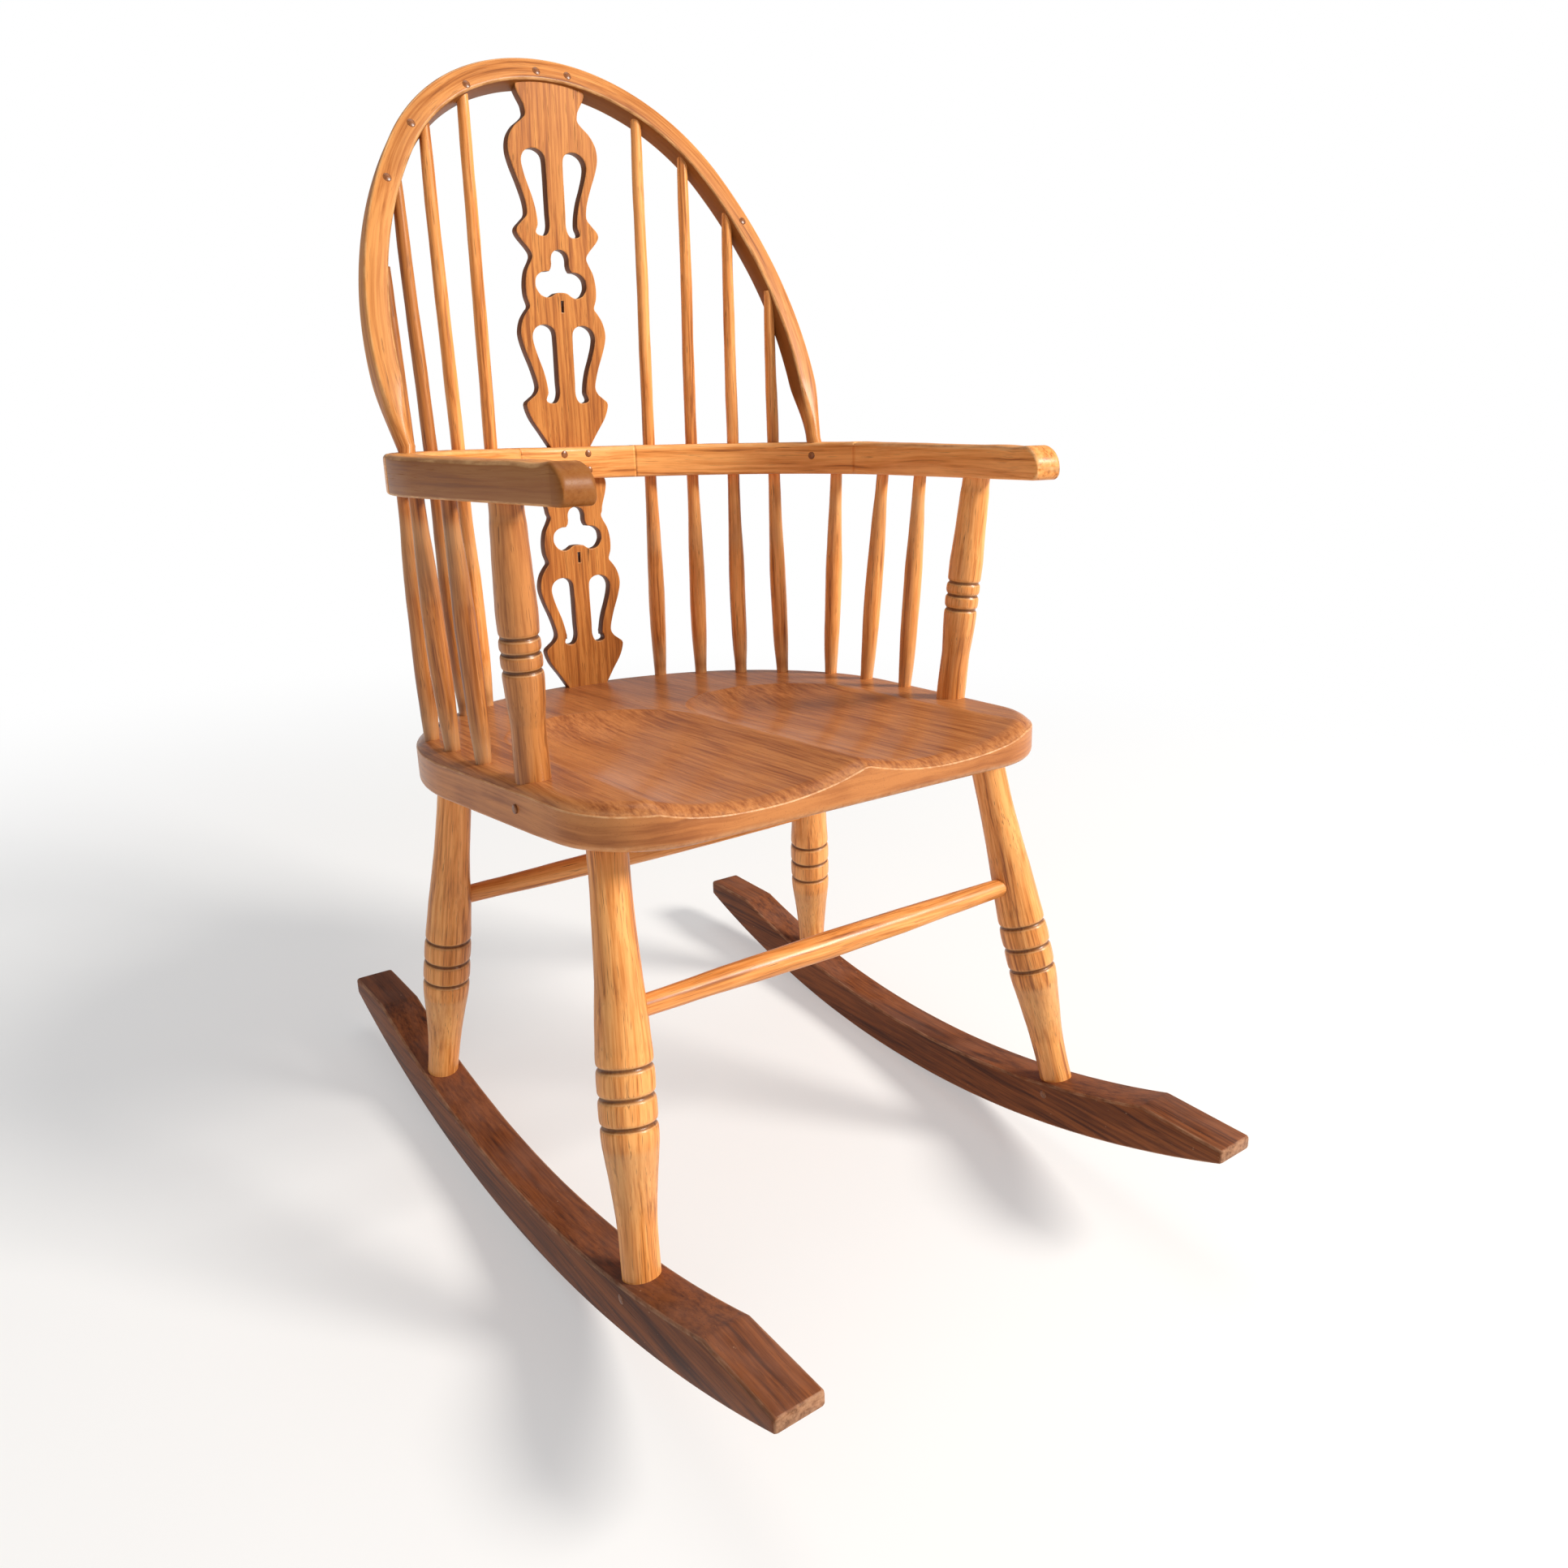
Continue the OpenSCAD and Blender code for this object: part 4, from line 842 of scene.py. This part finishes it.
# ---- hoop ----
def make_hoop():
    line = []
    for t in np.linspace(-math.asin(HOOP_SPRING / FLANK_R), FLANK_TURN, 90)[:-1]:
        line.append((FLANK_X + FLANK_R * math.cos(t), HOOP_SPRING + FLANK_R * math.sin(t), t))
    for t in np.linspace(FLANK_TURN, math.pi / 2, 60):
        line.append((CROWN_R * math.cos(t), HOOP_SPRING + CROWN_Y + CROWN_R * math.sin(t), t))
    line += [(-x, s, math.pi - t) for x, s, t in reversed(line[:-1])]
    verts, worn, grain = [], [], []
    run = 0.0
    lean = wander(np.arange(len(line)) * 5.0, 0.35, 240.0)
    for i, (x, s, t) in enumerate(line):
        share = min(1.0, s / (HOOP_SPRING - 2))
        share = share * share * (3 - 2 * share)
        h = HOOP_FOOT / 2 + (HOOP_THICK - HOOP_FOOT) / 2 * share
        corner = h * 0.98 * (1 - share) + 2.6 * share
        points, wear = section(-h + lean[i] * 0.4, h, -h, h, (corner,) * 4)
        px = x + math.copysign(2.5 * (1 - share), x) + points[:, 0] * math.cos(t)
        ps = s + points[:, 0] * math.sin(t)
        verts.append(np.column_stack([
            px, HOOP_Y + ps * math.sin(HOOP_LEAN) - points[:, 1] * math.cos(HOOP_LEAN),
            HOOP_Z + ps * math.cos(HOOP_LEAN) + points[:, 1] * math.sin(HOOP_LEAN)]))
        worn.append(wear * share)
        if i:
            run += math.dist((x, s), line[i - 1][:2])
        grain.append(np.column_stack([points, np.full(len(points), run)]))

    first, final, down = verts[0], verts[-1], np.array([0.0, 0.0, 17.0])
    low = [first + (BOW_FOOT - first.mean(0)) * t for t in (1.0, 0.5)]
    end = [final + (flipped(BOW_FOOT) - final.mean(0)) * t for t in (0.5, 1.0)]
    verts = low + verts + end
    grain = ([grain[0] - 2 * down, grain[0] - down] + grain
             + [grain[-1] + down, grain[-1] + 2 * down])
    worn = worn[:1] * 2 + worn + worn[-1:] * 2
    faces = [tuple(reversed(f)) for f in tube_faces(len(verts), len(first))]
    grain = np.concatenate(grain)
    # The inner face takes the dark side colour: partly dirt, partly painted shade.
    inner = np.clip((-grain[:, 0] - HOOP_THICK / 2 + 2.6) / 2.2, 0, 1)
    timber("back_bow", np.concatenate(verts), faces, grain, "arm_wood",
           wear=np.concatenate(worn), side=inner * 1.1, finish="hoop")


# ---- pierced splats ----
def loop_through(points):
    """A smooth closed outline through points."""
    p = np.array(points, float)
    n = len(p)
    out = []
    for i in range(n):
        p0, p1, p2, p3 = p[i - 1], p[i], p[(i + 1) % n], p[(i + 2) % n]
        pieces = max(1, int(np.linalg.norm(p2 - p1) / 2.0))
        for k in range(pieces):
            t = k / pieces
            out.append(0.5 * ((2 * p1) + (p2 - p0) * t + (2 * p0 - 5 * p1 + 4 * p2 - p3) * t * t
                              + (3 * p1 - p0 - 3 * p2 + p3) * t ** 3))
    return out


def board_mesh(outline, holes):
    """A sawn board with smooth pierced shapes: verts as (width, depth, height) and faces."""
    curve = bpy.data.curves.new("board", "CURVE")
    curve.dimensions, curve.fill_mode = "2D", "BOTH"
    curve.extrude, curve.offset = SPLAT_THICK / 2 - SPLAT_BEVEL, -SPLAT_BEVEL
    curve.bevel_depth, curve.bevel_resolution = SPLAT_BEVEL, 2
    for loop in [outline] + holes:
        spline = curve.splines.new("POLY")
        spline.points.add(len(loop) - 1)
        for point, (x, z) in zip(spline.points, loop):
            point.co = (x, z, 0, 1)
        spline.use_cyclic_u = True
    holder = put("board", curve)
    bpy.context.view_layer.update()
    shaped = holder.evaluated_get(bpy.context.evaluated_depsgraph_get())
    mesh = bpy.data.meshes.new_from_object(shaped)
    co = np.array([v.co for v in mesh.vertices], float)
    faces = [tuple(p.vertices) for p in mesh.polygons]
    bpy.data.objects.remove(holder)
    bpy.data.meshes.remove(mesh)
    bpy.data.curves.remove(curve)
    return np.column_stack([co[:, 0], -co[:, 2], co[:, 1]]), faces


def both_sides(half):
    """A closed outline from its right half, listed from the foot up."""
    half = [(x * SPLAT_BROAD, z) for x, z in half]
    return half + [(-x, z) for x, z in reversed(half)]


def slot_shape(low, high, side):
    h = high - low
    right = [(9, 8), (9, 22), (9, 38), (9, h - 20), (10, h - 6), (16, h - 0.5), (24, h),
             (31, h - 4), (34, h - 11), (33, h - 20), (29.5, h - 32), (25, h - 45), (22, h - 58),
             (21, h - 68), (21.5, 8), (23.5, 3), (21, 0), (13, 0)]
    return [(side * x * PIERCING_BROAD, low + z) for x, z in right]


def club_shape(y):
    right = [(0, -12.5), (6, -13.2), (10, -16), (15.5, -17.8), (22.5, -15.4), (26.6, -9.5),
             (27.5, -5), (26.3, 1.2), (22, 5.6), (16.5, 7.6), (12.2, 7.8), (10.4, 10.5), (9.4, 15),
             (9.5, 19.5), (8.4, 24.2), (5.4, 27.6), (0, 29.2)]
    right = [(x * PIERCING_BROAD, y + z) for x, z in right]
    return right + [(-x, z) for x, z in reversed(right[1:-1])]


def piercings(slots, club):
    """Pairs of slots, each (low, high), then a club with its slit below."""
    holes = [loop_through(slot_shape(*slot, side)) for slot in slots for side in (1, -1)]
    slit = [(-1.5, club - 32), (1.5, club - 32), (1.6, club - 20.5), (-1.6, club - 20.5)]
    return holes + [loop_through(club_shape(club)), slit]


# The pattern that both splats share above their feet, as (half width, height).
SPLAT_PATTERN = [
    (31, 14), (41, 30), (45, 44), (40.5, 49.5), (35, 54), (31.8, 60), (32.5, 68), (36.5, 82),
    (42, 97), (45.6, 110), (45.8, 119), (43, 129), (38, 137), (34.8, 142), (37.5, 152),
    (37.8, 164), (35.5, 176), (31, 185), (29, 191)]


def splat(node, half, holes, stand):
    """stand puts the flat board's points in the chair."""
    flat, faces = board_mesh(loop_through(both_sides(half)), holes)
    face, depth = SPLAT_THICK / 2, np.abs(flat[:, 1])
    arris = (depth > face - 0.8) & (depth < face - 0.05)
    caps = [all(abs(depth[i] - face) < 0.02 for i in f) for f in faces]
    timber(node, stand(flat), faces, flat, "splat_wood", wear=arris * 0.8,
           side=depth < face - 0.6, flat=caps)


def make_splats():
    low_front = SPLAT_Y - SPLAT_THICK / 2
    low = seat_top(low_front)
    long = arm_under(low_front) - low
    half = [(18, -6), (21.5, -2)] + SPLAT_PATTERN + [(31, 199), (32.7, long + 3)]
    splat("lower_splat", half, piercings([(50, 124)], 172),
          lambda p: np.column_stack([p[:, 0], SPLAT_Y + p[:, 1], low + p[:, 2]]))

    up_low = arm_top(SPLAT_Y + SPLAT_THICK / 2)
    _, back, up = on_hoop(0, hoop_height(0)) - [0, SPLAT_Y, up_low]
    half = [(18, -6), (21.0, -2)] + SPLAT_PATTERN + [
        (32, 197), (42, 209), (43, 216), (36, 224), (31.6, 230), (32.5, 242), (37.5, 258),
        (43.5, 274), (46.5, 287), (45, 299), (39, 309), (31, 316), (27, 321), (27.5, 328),
        (31.5, math.hypot(back, up) + 1.5)]
    c, s = math.cos(math.atan2(back, up)), math.sin(math.atan2(back, up))
    splat("upper_splat", half, piercings([(46, 124), (211, 291)], 169),
          lambda p: np.column_stack([p[:, 0], SPLAT_Y + c * p[:, 1] + s * p[:, 2],
                                     up_low - s * p[:, 1] + c * p[:, 2]]))


# ---- pegs ----
def peg_heads(node, spots):
    """Small domed ends of pegs, each at a point with an outward direction."""
    r = PEG / 2
    profile = [(-2.0, r), (0.0, r), (0.35, r - 0.5), (0.6, r - 1.6), (0.7, 0.4)]
    verts, faces, grain = [], [], []
    for at, out in spots:
        v, f, g, _ = lathe(at, np.array(at) + unit(out), profile, around=20, step=0.3)
        faces += [tuple(i + len(v) * len(verts) for i in face) for face in f]
        verts.append(v)
        grain.append(g)
    timber(node, np.concatenate(verts), faces, np.concatenate(grain), "peg_wood")


def make_pegs():
    out = np.array([0, -math.cos(HOOP_LEAN), math.sin(HOOP_LEAN)])
    peg_heads("bow_pegs", [(on_hoop(x, s) + out * HOOP_THICK / 2, out) for x, s in HOOP_PEGS])

    low = arm_top(SPLAT_Y + SPLAT_THICK / 2)
    r = ARM_BACK_R - ARM_WIDE / 2
    spots = [((x, ARM_BACK - ARM_BACK_R + math.sqrt(r ** 2 - x * x), z), (-x / r, -1, 0))
             for x, z in ((-14, low - 8), (14, low - 8), (14, low - 25))]
    r = ARM_SIDE_R - ARM_WIDE / 2
    t = math.asin((HOOP_FOOT_Y - ARM_CY) / r)
    spots += [((side * (ARM_CX + r * math.cos(t)), HOOP_FOOT_Y, arm_under(HOOP_FOOT_Y) + 20),
               (-side * math.cos(t), -math.sin(t), 0)) for side in (1, -1)]
    peg_heads("rail_pegs", spots)

    _, y, z = FRONT_FOOT - unit(FRONT_TOP - FRONT_FOOT) * LEG_TENON_LONG / 2
    peg_heads("rocker_pegs", [
        ((side * (rocker_x(y) + face * ROCKER_WIDE / 2), y, z), (side * face, 0, 0))
        for side in (1, -1) for face in (1, -1)])

    x, y, z = up_leg(FRONT_FOOT, FRONT_TOP, FRONT_RAIL_Z)
    peg_heads("leg_pegs", [((side * x, y - 18.0, z), (0, -1, 0.2)) for side in (1, -1)])

    y, z = POST_LOW[1] - 8, POST_LOW[2] - 20
    edge = max(p[0] for p in even(seat_outline(), 3.0) if abs(p[1] - y) < 12)
    peg_heads("seat_pegs", [((side * (edge + 0.1), y, z), (side, 0, 0)) for side in (1, -1)])


make_seat()
make_rockers()
make_legs()
make_posts_and_sticks()
make_arms()
make_hoop()
make_splats()
make_pegs()


# ---- floor, light and camera ----
PURE_WHITE = (1.0, 1.0, 1.0, 1.0)
SURROUND_LIGHT = 0.30
FLOOR_REACH = 30.0
CAMERA_AT = (-602.9, -984.4, 690.7)
CAMERA_AXES = ((0.80736, 0.18370, -0.56073),
               (-0.58940, 0.20613, -0.78110),
               (-0.02791, 0.96113, 0.27470))


def floor():
    """Pale paper that fades into a white glow away from the chair."""
    mesh = bpy.data.meshes.new("studio_floor")
    corners = [(-1, -1), (1, -1), (1, 1), (-1, 1)]
    mesh.from_pydata([(x * FLOOR_REACH, y * FLOOR_REACH, 0) for x, y in corners], [],
                     [(0, 1, 2, 3)])
    r = Recipe(bpy.data.materials.new("pale_floor"))
    spot = r.node("TexCoord", "Object")
    tone = r.ramp(r.noise(spot, 2.0), [(0.3, (0.875, 0.87, 0.865)), (0.7, (0.90, 0.895, 0.89))])
    paper = r.node("BsdfPrincipled", "BSDF", **{
        "Base Color": tone, "Roughness": 0.9, "Specular IOR Level": 0.2})
    glow = r.node("Emission", "Emission", Color=PURE_WHITE, Strength=1.0)
    away = r.node("VectorMath", "Value", {"operation": "LENGTH"}, **{"0": spot})
    share = away.between(0.7, 2.2) * 0.6 + 0.4
    mixed = r.node("MixShader", "Shader", **{"0": share, "1": paper, "2": glow})
    r.node("OutputMaterial", Surface=mixed)
    mesh.materials.append(r.owner)
    put("studio_floor", mesh)


def surroundings():
    """White where the camera sees it, and dimmer as light on the chair."""
    bpy.context.scene.world = bpy.data.worlds.new("studio_world")
    r = Recipe(bpy.context.scene.world)
    seen = r.node("Background", Color=PURE_WHITE, Strength=1.0)
    lit = r.node("Background", Color=(0.95, 0.97, 1.0, 1.0), Strength=SURROUND_LIGHT)
    camera_ray = r.node("LightPath", "Is Camera Ray")
    mixed = r.node("MixShader", "Shader", **{"0": camera_ray, "1": lit, "2": seen})
    r.node("OutputWorld", Surface=mixed)
    bpy.context.scene.view_settings.view_transform = "Standard"


def lamp(name, at, size, power, colour):
    """A round soft lamp turned to the chair's middle."""
    light = bpy.data.lights.new(name, "AREA")
    light.shape, light.size, light.energy, light.color = "DISK", size, power, colour
    holder = put(name, light)
    centre = Vector([(a + b) / 2 for a, b in zip(*CAD_BOX)])
    holder.location = at
    holder.rotation_euler = (centre - Vector(at)).to_track_quat("-Z", "Y").to_euler()


def camera():
    lens = bpy.data.cameras.new("studio_camera")
    lens.lens, lens.sensor_width, lens.clip_end = 27.02, 36.0, 60.0
    holder = put("studio_camera", lens)
    turn = (Matrix.Rotation(-RECLINE, 3, "X") @ Matrix(CAMERA_AXES)).to_4x4()
    holder.matrix_world = Matrix.Translation(Vector(place([CAMERA_AT])[0])) @ turn
    bpy.context.scene.camera = holder


floor()
surroundings()
lamp("key_light", (3.1, -3.7, 3.7), 1.7, 430.0, (1.0, 0.955, 0.89))
lamp("fill_light", (-2.6, -1.4, 1.8), 2.0, 5.0, (0.95, 0.97, 1.0))
lamp("top_light", (0.5, 0.6, 3.6), 2.0, 18.0, (1.0, 0.98, 0.95))
camera()
